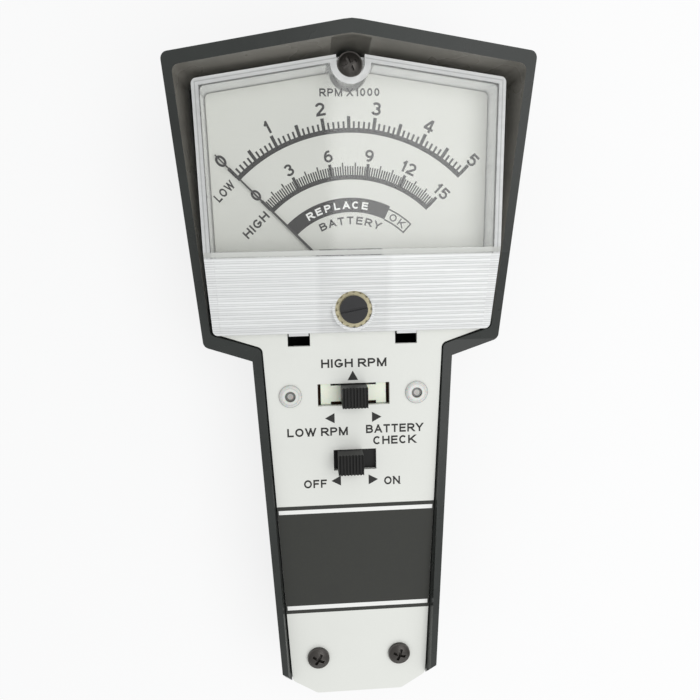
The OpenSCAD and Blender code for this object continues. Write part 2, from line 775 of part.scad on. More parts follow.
module window_cover() {
    color([0.85, 0.9, 0.92, 0.4]) difference() {
        union() {
            difference() {
                intersection() {
                    cover_block(zeros(cover_pts), 0, cover_h + 1);
                    cover_profile(0, -5);
                }
                intersection() {
                    cover_block(cover_walls, -1, cover_h + 1);
                    cover_profile(ramp_drop, cover_wall);
                }
            }
            intersection() {
                cover_block(zeros(cover_pts), 0, cover_h);
                at_face(y_top_screw) linear_extrude(cover_h) notch_plan(notch_r + notch_wall);
            }
            ramp_ribs();
            cover_hooks();
            at_face(y_zero) translate([0, 0, zero_seat_h - bushing_h - collar_floor])
                cylinder(r = bushing_r + 0.9, h = bushing_h + collar_floor + 0.3);
        }
        at_face(y_top_screw) {
            translate([0, 0, seat_h]) linear_extrude(cover_h) notch_plan(notch_r);
            translate([0, 0, -1]) linear_extrude(seat_h - seat_t + 1) notch_plan(notch_r);
            translate([0, 0, -1]) linear_extrude(cover_h) notch_plan(screw_hole_r);
        }
        at_face(y_zero) {
            translate([0, 0, zero_seat_h - bushing_h])
                cylinder(r = bushing_r + zero_fit, h = cover_h);
            cylinder(r = zero_shank_r + 0.3, h = cover_h);
        }
    }
}

// Dial plate with a notch for the screw column and a cut-out for the movement

module dial_plate() {
    color("#c9cbc9") difference() {
        plate(cover_pts, cover_walls, cover_rs, dial_gap, face_z, dial_t);
        box([-2 * head_half, y_end, face_z - 1], [2 * head_half, y_dial, face_z + dial_t + 1]);
        at_face(y_top_screw) translate([0, 0, -1]) linear_extrude(dial_t + 2)
            notch_plan(notch_r + notch_wall + dial_gap);
        at_face(y_dial) box([-pole_half - 0.05, -1, -1], [pole_half + 0.05, dial_notch, dial_t + 1]);
    }
}

// Nylon rivets through the panel and the range switch's ears

module panel_rivets() {
    grip = panel_t + sheet_t;
    color([0.9, 0.9, 0.88, 0.6]) for (side = [-1, 1])
        at_face(y_range) translate([side * rivet_pitch / 2, 0, 0]) rotate_extrude() polygon([
            [0, 0.45], [1.3, 0.45], [1.5, 0.95], [rivet_head_d / 2 - 0.7, 0.95],
            [rivet_head_d / 2, 0.35], [rivet_head_d / 2, 0], [rivet_d / 2, 0],
            [rivet_d / 2, -grip], [rivet_d / 2 + 0.8, -grip - 0.1], [rivet_d / 2 - 0.8, -grip - 2.2],
            [0, -grip - 2.2]
        ]);
}

// Slide switches

module knob(low) {
    pitch = knob_l / knob_grooves;
    difference() {
        box([-knob_l / 2, -knob_w / 2, low], [knob_l / 2, knob_w / 2, knob_h]);
        for (i = [0:knob_grooves - 1])
            box([-knob_l / 2 + (i + 0.28) * pitch, -knob_w, knob_h - 0.55],
                [-knob_l / 2 + (i + 0.72) * pitch, knob_w, knob_h + 1]);
    }
}

module slide_block() {
    box([-5.5, -2.4, plate_z - block_h], [5.5, 2.4, plate_z + sliver]);
}

module contact_clip() {
    z = plate_z - block_h;
    rotate([0, 0, 90]) along_x(3.6) polygon([
        [-5, z], [-5, z - 0.3], [-4.2, z - 0.9], [-3.4, z - 0.9], [-2.6, z - 0.3], [2.6, z - 0.3],
        [3.4, z - 0.9], [4.2, z - 0.9], [5, z - 0.3], [5, z]
    ]);
}

module switch_frame(half, opening, ears) {
    low = -panel_t - frame_depth;
    outer = slide_w + 1.7;
    difference() {
        union() {
            box([-half, -outer, -panel_t - sheet_t], [half, outer, -panel_t]);
            for (side = [-1, 1])
                box([-half + 1, side * (outer - sheet_t / 2) - sheet_t / 2, low],
                    [half - 1, side * (outer - sheet_t / 2) + sheet_t / 2, -panel_t]);
            if (ears) box([-rivet_pitch / 2 - 4, -4, -panel_t - sheet_t],
                [rivet_pitch / 2 + 4, 4, -panel_t]);
        }
        box([-opening, -slide_w - 0.25, -panel_t - 2 * sheet_t], [opening, slide_w + 0.25, 0]);
        if (ears) for (side = [-1, 1])
            translate([side * rivet_pitch / 2, 0, -2 * frame_depth])
                cylinder(d = rivet_d + 2 * screw_gap, h = 2 * frame_depth);
    }
}

module switch_base(half, columns) {
    low = -panel_t - frame_depth;
    w = slide_w + 1.7 - sheet_t;
    difference() {
        box([-half + 1, -w, low], [half - 1, w, low + base_t]);
        for (x = columns, side = [-1, 1])
            translate([x, side * terminal_y, low - 1]) cylinder(r = terminal_r, h = base_t + 2);
    }
}

module terminal_pins(columns) {
    low = -board_down - board_t - terminal_tail;
    for (x = columns, side = [-1, 1])
        translate([x, side * terminal_y, low])
            cylinder(r = terminal_r, h = -panel_t - frame_depth + base_t - low);
}

module range_knob() {
    color("#232323") at_face(y_range) knob(plate_z + plate_t);
}

module range_carriage() {
    color("#e6e9cf") at_face(y_range) {
        difference() {
            box([-slide_half, -slide_w, plate_z], [slide_half, slide_w, plate_z + plate_t]);
            for (side = [-1, 1])
                box([-relief_half, side * slide_w - relief_w, plate_z - 1],
                    [relief_half, side * slide_w + relief_w, plate_z + 2]);
        }
        slide_block();
    }
}

module range_contact() {
    color("#c8a050") at_face(y_range) contact_clip();
}

module range_frame() {
    color("#b8bcc0") at_face(y_range)
        switch_frame(range_frame_half, slide_half + switch_step + 0.35, true);
}

module range_base() {
    color("#7a5230") at_face(y_range) switch_base(range_frame_half, terminal_x);
}

module range_terminals() {
    color("#d8d2b8") at_face(y_range) terminal_pins(terminal_x);
}

module power_knob() {
    color("#232323") at_face(y_power) translate([power_rest, 0, 0]) {
        knob(plate_z);
        box([-slide_half, -slide_w, plate_z], [slide_half, slide_w, plate_z + plate_t]);
        slide_block();
    }
}

module power_contact() {
    color("#c8a050") at_face(y_power) translate([power_rest, 0, 0]) contact_clip();
}

module power_frame() {
    color("#b8bcc0") at_face(y_power)
        switch_frame(power_frame_half, slide_half + switch_step / 2 + 0.35, false);
}

module power_base() {
    color("#7a5230") at_face(y_power) switch_base(power_frame_half, power_terminal_x);
}

module power_terminals() {
    color("#d8d2b8") at_face(y_power) terminal_pins(power_terminal_x);
}

// Meter movement

module swinging() {
    at_face(y_pivot) rotate([0, 0, pointer_rest]) children();
}

module pointer() {
    low = hub_low;
    color("#202020") swinging() difference() {
        union() {
            translate([0, 0, low]) cylinder(r = 1.5, h = pointer_t);
            box([-0.45, -5.4, low], [0.45, crank_a + 0.1, low + pointer_t]);
            box([-5, -0.35, low], [5, 0.35, low + pointer_t]);
            along_x(blade_w) polygon([
                [crank_a, low], [crank_a + 0.3, low], [crank_b + 0.3, blade_h + pointer_t],
                [crank_b, blade_h + pointer_t], [crank_a, low + pointer_t]
            ]);
            translate([0, 0, blade_h]) linear_extrude(pointer_t) polygon([
                [-blade_w / 2, crank_b], [blade_w / 2, crank_b],
                [tip_w / 2, pointer_l], [-tip_w / 2, pointer_l]
            ]);
        }
        translate([0, 0, low - 1]) cylinder(r = staff_r, h = 3);
    }
}

module moving_coil() {
    color("#b06a35") swinging() difference() {
        box([-coil_r - coil_t, -coil_w / 2, coil_low], [coil_r + coil_t, coil_w / 2, coil_top]);
        box([-coil_r, -coil_w, coil_low + 0.5], [coil_r, coil_w, coil_top - 0.5]);
    }
}

module pivot_staff() {
    color("#c8ccd0") swinging() {
        translate([0, 0, coil_top]) cylinder(r = staff_r, h = bridge_z + 0.2 - coil_top);
        translate([0, 0, upper_spring_z]) cylinder(r = collet_r, h = spring_t);
        translate([0, 0, coil_low - 1.4]) cylinder(r = staff_r, h = 1.4);
        translate([0, 0, lower_spring_z]) cylinder(r = collet_r, h = spring_t);
    }
}

module balance_weights() {
    spots = [[0, -4.7], [-4.4, 0], [4.4, 0]];
    color("#b08d45") swinging() for (p = spots)
        translate([p.x, p.y, hub_low + pointer_t]) cylinder(r = 0.6, h = 0.5);
}

module hairspring(z) {
    turns = 3.5;
    steps = 56;
    start = collet_r + 0.05;
    growth = (spring_r - start) / steps;
    turn = 360 * turns / steps;
    translate([0, 0, z]) linear_extrude(spring_t) polygon(concat(
        [for (i = [0:steps]) (start + growth * i) * [sin(turn * i), -cos(turn * i)]],
        [for (i = [steps:-1:0]) (start + spring_w + growth * i) * [sin(turn * i), -cos(turn * i)]]
    ));
}

module upper_hairspring() {
    color("#c08040") at_face(y_pivot) hairspring(upper_spring_z);
}

module lower_hairspring() {
    color("#c08040") at_face(y_pivot) hairspring(lower_spring_z);
}

module zero_screw() {
    shank_low = zero_seat_h - bushing_h - collar_floor - 0.3;
    color("#1b1b1b") at_face(y_zero) {
        difference() {
            translate([0, 0, zero_seat_h + 0.05]) cylinder(d = zero_head_d, h = zero_head_h);
            rotate([0, 0, zero_slot_tilt])
                box([-zero_head_d, -0.45, zero_seat_h + zero_head_h - 0.75],
                    [zero_head_d, 0.45, zero_seat_h + zero_head_h + 1]);
        }
        translate([0, 0, shank_low])
            cylinder(r = zero_shank_r, h = zero_seat_h + 0.06 - shank_low);
        translate([0, zero_throw, zero_pin_low])
            cylinder(r = zero_pin_r, h = shank_low - zero_pin_low + sliver);
    }
}

module zero_bushing() {
    color("#b9ad80") at_face(y_zero) translate([0, 0, zero_seat_h - bushing_h]) difference() {
        cylinder(r = bushing_r, h = bushing_h);
        translate([0, 0, -1]) cylinder(r = zero_shank_r + zero_fit, h = bushing_h + 2);
        for (i = [0:bushing_notches - 1])
            rotate([0, 0, i * 360 / bushing_notches])
                box([bushing_r - bushing_notch_d, -0.45, bushing_h - 0.9],
                    [bushing_r + 1, 0.45, bushing_h + 1]);
    }
}

module zero_lever() {
    pin_y = -zero_down + zero_throw;
    slot = zero_pin_r + 0.12;
    color("#c8b070") at_face(y_pivot) difference() {
        union() {
            translate([0, 0, bridge_z + bridge_t + jewel_fit])
                cylinder(r = 1.9, h = lever_z + lever_t - bridge_z - bridge_t - jewel_fit);
            box([-0.7, pin_y + 0.9, lever_z], [0.7, 0, lever_z + lever_t]);
            box([-slot - 0.7, pin_y - 0.9, lever_z], [slot + 0.7, pin_y + 1.3, lever_z + lever_t]);
            box([-0.5, 0, lever_z], [0.5, stud_y + 0.4, lever_z + lever_t]);
            box([-0.5, stud_y, upper_spring_z], [0.5, stud_y + 0.4, lever_z + lever_t]);
        }
        translate([0, 0, bridge_z]) cylinder(r = jewel_r + jewel_fit, h = 4);
        box([-slot, pin_y - 3, lever_z - 1], [slot, pin_y + 0.7, lever_z + lever_t + 1]);
    }
}

module upper_bridge() {
    color("#c9b37a") at_face(y_pivot) difference() {
        union() {
            box([-bridge_half, -bridge_w, bridge_z], [bridge_half, bridge_w, bridge_z + bridge_t]);
            for (side = [-1, 1])
                translate([side * post_x, 0, -pole_down])
                    cylinder(r = 0.9, h = bridge_z + pole_down + sliver);
        }
        translate([0, 0, bridge_z - 1]) cylinder(r = jewel_r, h = 4);
    }
}

module lower_bridge() {
    color("#c9b37a") at_face(y_pivot) difference() {
        union() {
            box([-bridge_half, -bridge_w, lower_bridge_z],
                [bridge_half, bridge_w, lower_bridge_z + bridge_t]);
            for (side = [-1, 1])
                translate([side * post_x, 0, lower_bridge_z])
                    cylinder(r = 1.2, h = frame_z - lower_bridge_z);
            box([-0.4, bridge_w - sliver, lower_bridge_z],
                [0.4, stud_y + 0.4, lower_bridge_z + 0.6]);
            box([-0.4, stud_y, lower_bridge_z], [0.4, stud_y + 0.4, coil_low - 0.4]);
        }
        translate([0, 0, lower_bridge_z - 1]) cylinder(r = jewel_r, h = 4);
    }
}

module jewel_screw(l) {
    difference() {
        union() {
            cylinder(r = jewel_r, h = l);
            translate([0, 0, l - nut_h]) cylinder(r = 1.5, h = nut_h);
        }
        translate([0, 0, -1]) cylinder(r = staff_r + jewel_fit, h = 1.5);
        box([-2, -0.14, l - 0.4], [2, 0.14, l + 1]);
    }
}

module upper_jewel_screw() {
    color("#a8873d") at_face(y_pivot) translate([0, 0, bridge_z - 0.2])
        jewel_screw(jewel_top - bridge_z + 0.2);
}

module lower_jewel_screw() {
    low_tip = coil_low - 1.2;
    color("#a8873d") at_face(y_pivot) translate([0, 0, low_tip]) rotate([180, 0, 0])
        jewel_screw(low_tip - lower_bridge_z + 1);
}

module pointer_stops() {
    turns = [pointer_rest + pointer_back + stop_turn, pointer_rest - pointer_turn - stop_turn];
    color("#b08d45") at_face(y_pivot) for (a = turns)
        rotate([0, 0, a]) translate([0, stop_at, -pole_down])
            cylinder(r = stop_r, h = hub_low + pointer_t + pole_down);
}

module iron_core() {
    color("#6f7478") at_face(y_pivot) translate([0, 0, core_low]) cylinder(r = core_r, h = pole_h);
}

module core_bracket() {
    mid = -pole_down - pole_h / 2;
    color("#b08d45") at_face(y_pivot) difference() {
        union() {
            box([-pole_split / 2 + 0.1, 0, mid - 1.2], [pole_split / 2 - 0.1, pole_l + 0.1, mid + 1.2]);
            box([-7, pole_l, mid - 2.5], [7, pole_l + 0.8, mid + 2.5]);
        }
        translate([0, 0, core_low - 1]) cylinder(r = core_r, h = pole_h + 2);
    }
}

module pole_piece(side) {
    color("#7c8186") at_face(y_pivot) difference() {
        box([min(side * pole_split / 2, side * pole_half), -pole_l, core_low],
            [max(side * pole_split / 2, side * pole_half), pole_l, -pole_down]);
        translate([0, 0, core_low - 1]) cylinder(r = bore_r, h = pole_h + 2);
    }
}

module left_pole_piece() {
    pole_piece(-1);
}

module right_pole_piece() {
    pole_piece(1);
}

module field_magnet() {
    color("#5d7488") at_face(y_pivot)
        box([-pole_half, -pole_l - magnet_l, core_low], [pole_half, -pole_l, -pole_down]);
}

module meter_frame() {
    color("#3a3028") at_face(y_pivot) difference() {
        union() {
            box([-pole_half - 0.6, -pole_l - magnet_l, frame_z], [pole_half + 0.6, pole_l + 0.8, core_low]);
            box([-meter_screw_x - 3, -3.4, frame_z], [meter_screw_x + 3, 3.4, core_low]);
        }
        translate([0, 0, frame_z - 1]) cylinder(r = bore_r + 0.3, h = frame_t + 2);
        for (side = [-1, 1])
            translate([side * meter_screw_x, 0, frame_z - 1])
                cylinder(d = meter_screw_d + 2 * screw_gap, h = frame_t + 2);
    }
}

module meter_screws() {
    color("#b9bdc1") for (side = [-1, 1])
        at_face(y_pivot) translate([side * meter_screw_x, 0, frame_z]) rotate([180, 0, 0])
            pan_screw(meter_screw_d, meter_head_d, meter_head_h, frame_t + meter_screw_l);
}

// Circuit board and its pieces

module circuit_board() {
    color("#3f6b3a") difference() {
        box([-board_half, y_board, board_low],
            [board_half, y_range + board_head, board_low + board_t]);
        for (x = terminal_x, side = [-1, 1])
            translate([x, y_range + side * terminal_y, board_low - 1])
                cylinder(r = terminal_r, h = board_t + 2);
        for (x = power_terminal_x, side = [-1, 1])
            translate([x, y_power + side * terminal_y, board_low - 1])
                cylinder(r = terminal_r, h = board_t + 2);
    }
}

module on_board(x, y) {
    translate([x, y_range + y, board_low]) children();
}

module pulse_chip() {
    pin_pitch = 2.54;
    pin_y = chip_w / 2 + 0.3;
    color("#222222") on_board(0, -chip_down) {
        box([-chip_l / 2, -chip_w / 2, -0.6 - chip_h], [chip_l / 2, chip_w / 2, -0.6]);
        for (i = [-3:3], side = [-1, 1])
            box([pin_pitch * i - 0.3, side * pin_y - 0.35, -2.5],
                [pin_pitch * i + 0.3, side * pin_y + 0.35, 0]);
    }
}

module resistors() {
    color("#c9a878") for (p = resistor_spots)
        translate([p.x, y_board + p.y, board_low]) rotate([0, 0, p.z]) {
        translate([0, 2.9, -1.3]) rotate([90, 0, 0]) cylinder(r = 1.15, h = 5.8);
        for (side = [-1, 1]) {
            translate([0, side * 3.4, -1.3]) rotate([90, 0, 0])
                cylinder(r = 0.3, h = 1.2, center = true);
            translate([0, side * 4, -1.6]) cylinder(r = 0.3, h = 1.6);
        }
    }
}

module filter_capacitor() {
    color("#2a4f8a") on_board(-board_half + capacitor_r + 0.9, -board_head - 1)
        translate([0, 0, -capacitor_r]) rotate([90, 0, 0])
            cylinder(r = capacitor_r, h = capacitor_l);
}

module disc_capacitors() {
    edge = board_half - disc_r - 1;
    color("#c98a3a") for (x = [-edge, board_half / 2, edge]) on_board(x, board_head - disc_r) {
        translate([0, 0.8, -disc_r - 1.7]) rotate([90, 0, 0]) cylinder(r = disc_r, h = 1.6);
        for (side = [-1, 1]) translate([side * 1.5, 0, -3]) cylinder(r = 0.3, h = 3);
    }
}

module trimmers() {
    x = board_half - trimmer_w / 2 - 1;
    color("#2d62b0") for (i = [0:2]) on_board(x, -3.6 - trimmer_pitch * i) difference() {
        box([-trimmer_w / 2, -trimmer_l / 2, -4.2], [trimmer_w / 2, trimmer_l / 2, 0]);
        translate([0, 0, -5]) cylinder(r = 2.1, h = 1.6);
        box([-3, -0.4, -5], [3, 0.4, -3.7]);
    }
}

module transistor() {
    color("#262626") on_board(-13, -3.2) {
        intersection() {
            translate([0, 0, -8]) cylinder(r = 2.4, h = 4.6);
            box([-3, -1.3, -9], [3, 3, 0]);
        }
        for (x = [-1.27, 0, 1.27]) box([x - 0.22, -0.22, -3.5], [x + 0.22, 0.22, 0]);
    }
}

module pickup_plate() {
    color("#b87a4a") box([-pickup_half, y_crease + 8, back_t],
        [pickup_half, y_crease + 8 + pickup_l, back_t + pickup_t]);
}

// Battery in the handle

module battery() {
    color("#3b3b40") translate([0, y_battery, battery_z]) {
        hull() for (x = [-1, 1], z = [1.5, battery_h - 1.5])
            translate([x * (battery_w / 2 - 1.5), 0, z]) rotate([-90, 0, 0])
                cylinder(r = 1.5, h = battery_l, $fn = 24);
        for (x = [-6.35, 6.35])
            translate([x, battery_l, battery_h / 2]) rotate([-90, 0, 0])
                cylinder(d = x < 0 ? 5.6 : 7.4, h = 2.2);
    }
}

module battery_snap() {
    color("#1e1e1e") translate([0, y_battery + battery_l, battery_z + battery_h / 2]) difference() {
        box([-battery_w / 2 + 0.5, 0, -snap_half], [battery_w / 2 - 0.5, snap_t, snap_half]);
        translate([-6.35, -1, 0]) rotate([-90, 0, 0]) cylinder(d = 5.7, h = 3.3);
        translate([6.35, -1, 0]) rotate([-90, 0, 0]) cylinder(d = 7.5, h = 3.3);
    }
}

module battery_pad() {
    color("#55555a") box([-battery_w / 2, y_battery + 2, back_t],
        [battery_w / 2, y_battery + battery_l - 2, battery_z]);
}

// Leads, each a curve with a straight end at both soldered places

module lead(p) {
    a = p[0] - stub_l * (p[1] - p[0]) / norm(p[1] - p[0]);
    b = p[3] + stub_l * (p[3] - p[2]) / norm(p[3] - p[2]);
    tube(concat([a], curve(p, 12), [b]), lead_d / 2);
}

module battery_lead(x, x_board) {
    z_snap = battery_z + battery_h / 2;
    lead([
        [x, y_snap + stub_l, z_snap], [x, y_snap + 3, z_snap],
        [x_board, y_board + 2.4, board_low - 4], [x_board, y_board + 2.4, board_low - stub_l]
    ]);
}

module positive_lead() {
    color("#b22a22") mirror([1, 0, 0]) battery_lead(-6, -3);
}

module negative_lead() {
    color("#1a1a1a") battery_lead(-6, -3);
}

module meter_lead(side) {
    low = face_z + frame_z;
    y_frame = y_pivot - pole_l - magnet_l + 1.5;
    y_pad = y_range + board_head - 1.4;
    lead([
        [side * 4, y_frame, low - stub_l], [side * 4, y_frame, low - 6],
        [side * 4, y_pad, board_low - 7], [side * 4, y_pad, board_low - stub_l]
    ]);
}

module left_meter_lead() {
    color("#e0c020") meter_lead(-1);
}

module right_meter_lead() {
    color("#2a8a3a") meter_lead(1);
}

module pickup_lead() {
    y_start = y_crease + 10;
    y_pad = y_range + board_head - 1.4;
    z_start = back_t + pickup_t;
    color("#d8d8d8") lead([
        [0, y_start, z_start + stub_l], [0, y_start, z_start + 9],
        [0, y_pad, board_low - 9], [0, y_pad, board_low - stub_l]
    ]);
}

housing();
front_panel();
panel_screws();
cover_screw();
window_cover();
dial_plate();
panel_rivets();
range_knob();
range_carriage();
range_contact();
range_frame();
range_base();
range_terminals();
power_knob();
power_contact();
power_frame();
power_base();
power_terminals();
pointer();
moving_coil();
pivot_staff();
balance_weights();
upper_hairspring();
lower_hairspring();
zero_screw();
zero_bushing();
zero_lever();
upper_bridge();
lower_bridge();
upper_jewel_screw();
lower_jewel_screw();
pointer_stops();
iron_core();
core_bracket();
left_pole_piece();
right_pole_piece();
field_magnet();
meter_frame();
meter_screws();
circuit_board();
pulse_chip();
resistors();
filter_capacitor();
disc_capacitors();
trimmers();
transistor();
pickup_plate();
pickup_lead();
battery();
battery_snap();
battery_pad();
positive_lead();
negative_lead();
left_meter_lead();
right_meter_lead();
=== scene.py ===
import json
import math
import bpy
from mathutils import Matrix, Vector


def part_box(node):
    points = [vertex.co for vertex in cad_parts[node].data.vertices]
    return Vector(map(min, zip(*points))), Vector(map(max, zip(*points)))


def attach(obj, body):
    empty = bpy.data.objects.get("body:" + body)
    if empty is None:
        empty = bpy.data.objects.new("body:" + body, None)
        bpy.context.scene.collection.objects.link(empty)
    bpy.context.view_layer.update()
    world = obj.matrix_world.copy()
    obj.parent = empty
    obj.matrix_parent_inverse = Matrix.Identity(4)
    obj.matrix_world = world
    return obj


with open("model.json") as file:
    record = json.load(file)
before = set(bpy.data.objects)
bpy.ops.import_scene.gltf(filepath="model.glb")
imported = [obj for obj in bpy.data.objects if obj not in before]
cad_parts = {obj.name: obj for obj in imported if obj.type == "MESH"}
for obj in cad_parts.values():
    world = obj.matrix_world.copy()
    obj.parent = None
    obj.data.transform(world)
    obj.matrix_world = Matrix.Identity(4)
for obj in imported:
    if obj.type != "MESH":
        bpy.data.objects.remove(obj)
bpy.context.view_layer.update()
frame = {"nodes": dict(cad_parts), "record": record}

from types import SimpleNamespace

import bmesh
import bpy
from mathutils import Matrix, Vector
from mathutils.geometry import delaunay_2d_cdt

nodes = frame["nodes"]
scene = bpy.context.scene
scene.view_settings.view_transform = "Standard"

# One millimetre in metres. Blender, the frame, the lamps and the depths of bumps use metres. The places on
# the object, the masks of the materials and the printed marks use millimetres.
MM = 0.001


def box_low(node):
    """Low corner of a node's box, in millimetres."""
    return Vector(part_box(node)[0]) / MM


def box_high(node):
    return Vector(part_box(node)[1]) / MM


def box_middle(node):
    return (box_low(node) + box_high(node)) / 2


# Places from the frame
FACE = box_high("front_panel").z
DIAL = box_high("dial_plate").z
PIVOT = box_middle("pivot_staff").y
RIVET_PITCH = 38.1
RIVETS = [(side * RIVET_PITCH / 2, box_middle("panel_rivets").y) for side in (-1, 1)]

# The clear cover's ramp, from its lower edge, in front of which the hooks stand, to the crease at the window
HOOK_OUT = 0.9
RAMP_LENGTH = 23.8
COVER_TOE = box_low("window_cover").y + HOOK_OUT
COVER_CREASE = COVER_TOE + RAMP_LENGTH
COVER_TOP = box_high("window_cover").z
# Ribs across the ramp, and how far the first and last stay from its ends
RIBS = 16
RIB_FOOT = COVER_TOE + 0.8
RIB_TOP = COVER_CREASE - 1.6
RIB_PITCH = (RIB_TOP - RIB_FOOT) / RIBS

# The outline of the clear cover: its half width at the toe, how the half width grows along it, the peak of
# its top edge, the fall of that edge to the sides, and the thickness of its walls
COVER_HALF = 40.605
COVER_SPREAD = 0.02018
COVER_PEAK = 93.124
COVER_FALL = 0.1562
COVER_WALL = 1.9

# The cover's screw boss and the collar round the zero screw: their middles and outer radii
BOSS_AT = (0, box_middle("cover_screw").y)
BOSS_R = 5.5
COLLAR_AT = (0, box_middle("zero_screw").y)
COLLAR_R = 6.8


def linear(r, g, b):
    """Screen colour, 0 to 255, as a linear colour."""
    out = []
    for v in (r, g, b):
        v /= 255
        out.append(v / 12.92 if v < 0.04045 else ((v + 0.055) / 1.055) ** 2.4)
    return (*out, 1)


def shade(color, k):
    """The colour, lighter or darker by a factor."""
    return (*[min(1, max(0, c * k)) for c in color[:3]], 1)


# Node trees for materials

# Most of a noise's values lie between these
SPREAD = (0.3, 0.7)
FINE_SPREAD = (0.35, 0.65)


class Nodes:
    """A material's node tree, with a short method for each kind of node."""

    def __init__(self, name):
        self.mat = bpy.data.materials.new(name)
        self.mat.use_nodes = True
        self.tree = self.mat.node_tree
        self.tree.nodes.clear()
        self.out = self.add("ShaderNodeOutputMaterial")
        self.at = self.add("ShaderNodeTexCoord").outputs["Object"]

    def add(self, kind, **props):
        n = self.tree.nodes.new(kind)
        for k, v in props.items():
            setattr(n, k, v)
        return n

    def link(self, a, b):
        self.tree.links.new(a, b)

    def put(self, socket, value):
        """Gives a socket a link or a plain value."""
        if isinstance(value, bpy.types.NodeSocket):
            self.link(value, socket)
        else:
            socket.default_value = value

    def noise(self, scale, detail=2, rough=0.5, stretch=None):
        n = self.add("ShaderNodeTexNoise")
        n.inputs["Scale"].default_value = scale
        n.inputs["Detail"].default_value = detail
        n.inputs["Roughness"].default_value = rough
        at = self.at
        if stretch:
            m = self.add("ShaderNodeMapping")
            m.inputs["Scale"].default_value = stretch
            self.link(at, m.inputs["Vector"])
            at = m.outputs["Vector"]
        self.link(at, n.inputs["Vector"])
        return n.outputs["Fac"]

    def math(self, op, a, b=0.0, clamp=False):
        n = self.add("ShaderNodeMath", operation=op, use_clamp=clamp)
        self.put(n.inputs[0], a)
        self.put(n.inputs[1], b)
        return n.outputs[0]

    def plus(self, a, b):
        return self.math("ADD", a, b)

    def minus(self, a, b):
        return self.math("SUBTRACT", a, b)

    def times(self, first, *rest):
        for value in rest:
            first = self.math("MULTIPLY", first, value)
        return first

    def absolute(self, a):
        return self.math("ABSOLUTE", a)

    def most(self, first, *rest):
        for value in rest:
            first = self.math("MAXIMUM", first, value)
        return first

    def least(self, a, b):
        return self.math("MINIMUM", a, b)

    def ramp(self, value, low, high, a=0.0, b=1.0):
        """Maps low to high onto a to b, and keeps to them outside."""
        n = self.add("ShaderNodeMapRange", clamp=True)
        for k, v in (("From Min", low), ("From Max", high), ("To Min", a), ("To Max", b)):
            n.inputs[k].default_value = v
        self.link(value, n.inputs["Value"])
        return n.outputs["Result"]

    def over(self, value, limit, soft=0.1):
        """One where the value is over the limit, with a soft border to each side of it."""
        return self.ramp(value, limit - soft, limit + soft)

    def under(self, value, limit, soft=0.1):
        return self.ramp(value, limit + soft, limit - soft)

    def between(self, value, low, high, soft=0.1):
        return self.times(self.over(value, low, soft), self.under(value, high, soft))

    def mix(self, fac, a, b):
        n = self.add("ShaderNodeMix", data_type="RGBA")
        self.put(n.inputs[0], fac)
        self.put(n.inputs[6], a)
        self.put(n.inputs[7], b)
        return n.outputs[2]

    def parts(self, vector):
        s = self.add("ShaderNodeSeparateXYZ")
        self.link(vector, s.inputs[0])
        return s.outputs

    def place(self):
        """The point's x, y and z in millimetres."""
        return [self.times(part, 1 / MM) for part in self.parts(self.at)]

    def facing(self):
        """The x, y and z of the direction that the surface faces."""
        return self.parts(self.add("ShaderNodeNewGeometry").outputs["Normal"])

    def away(self, x, y, spot):
        """Distance in the plane from a spot, in millimetres."""
        dx = self.minus(x, spot[0])
        dy = self.minus(y, spot[1])
        return self.math("SQRT", self.plus(self.times(dx, dx), self.times(dy, dy)))

    def bump(self, height, depth):
        n = self.add("ShaderNodeBump")
        n.inputs["Distance"].default_value = depth
        n.inputs["Strength"].default_value = 1.0
        self.link(height, n.inputs["Height"])
        return n.outputs["Normal"]

    def edges(self):
        """High where the surface turns over an edge."""
        b = self.add("ShaderNodeBevel", samples=4)
        b.inputs["Radius"].default_value = 0.4 * MM
        g = self.add("ShaderNodeNewGeometry")
        d = self.add("ShaderNodeVectorMath", operation="DOT_PRODUCT")
        self.link(b.outputs["Normal"], d.inputs[0])
        self.link(g.outputs["Normal"], d.inputs[1])
        return self.ramp(d.outputs["Value"], 0.995, 0.85)


# Solid materials

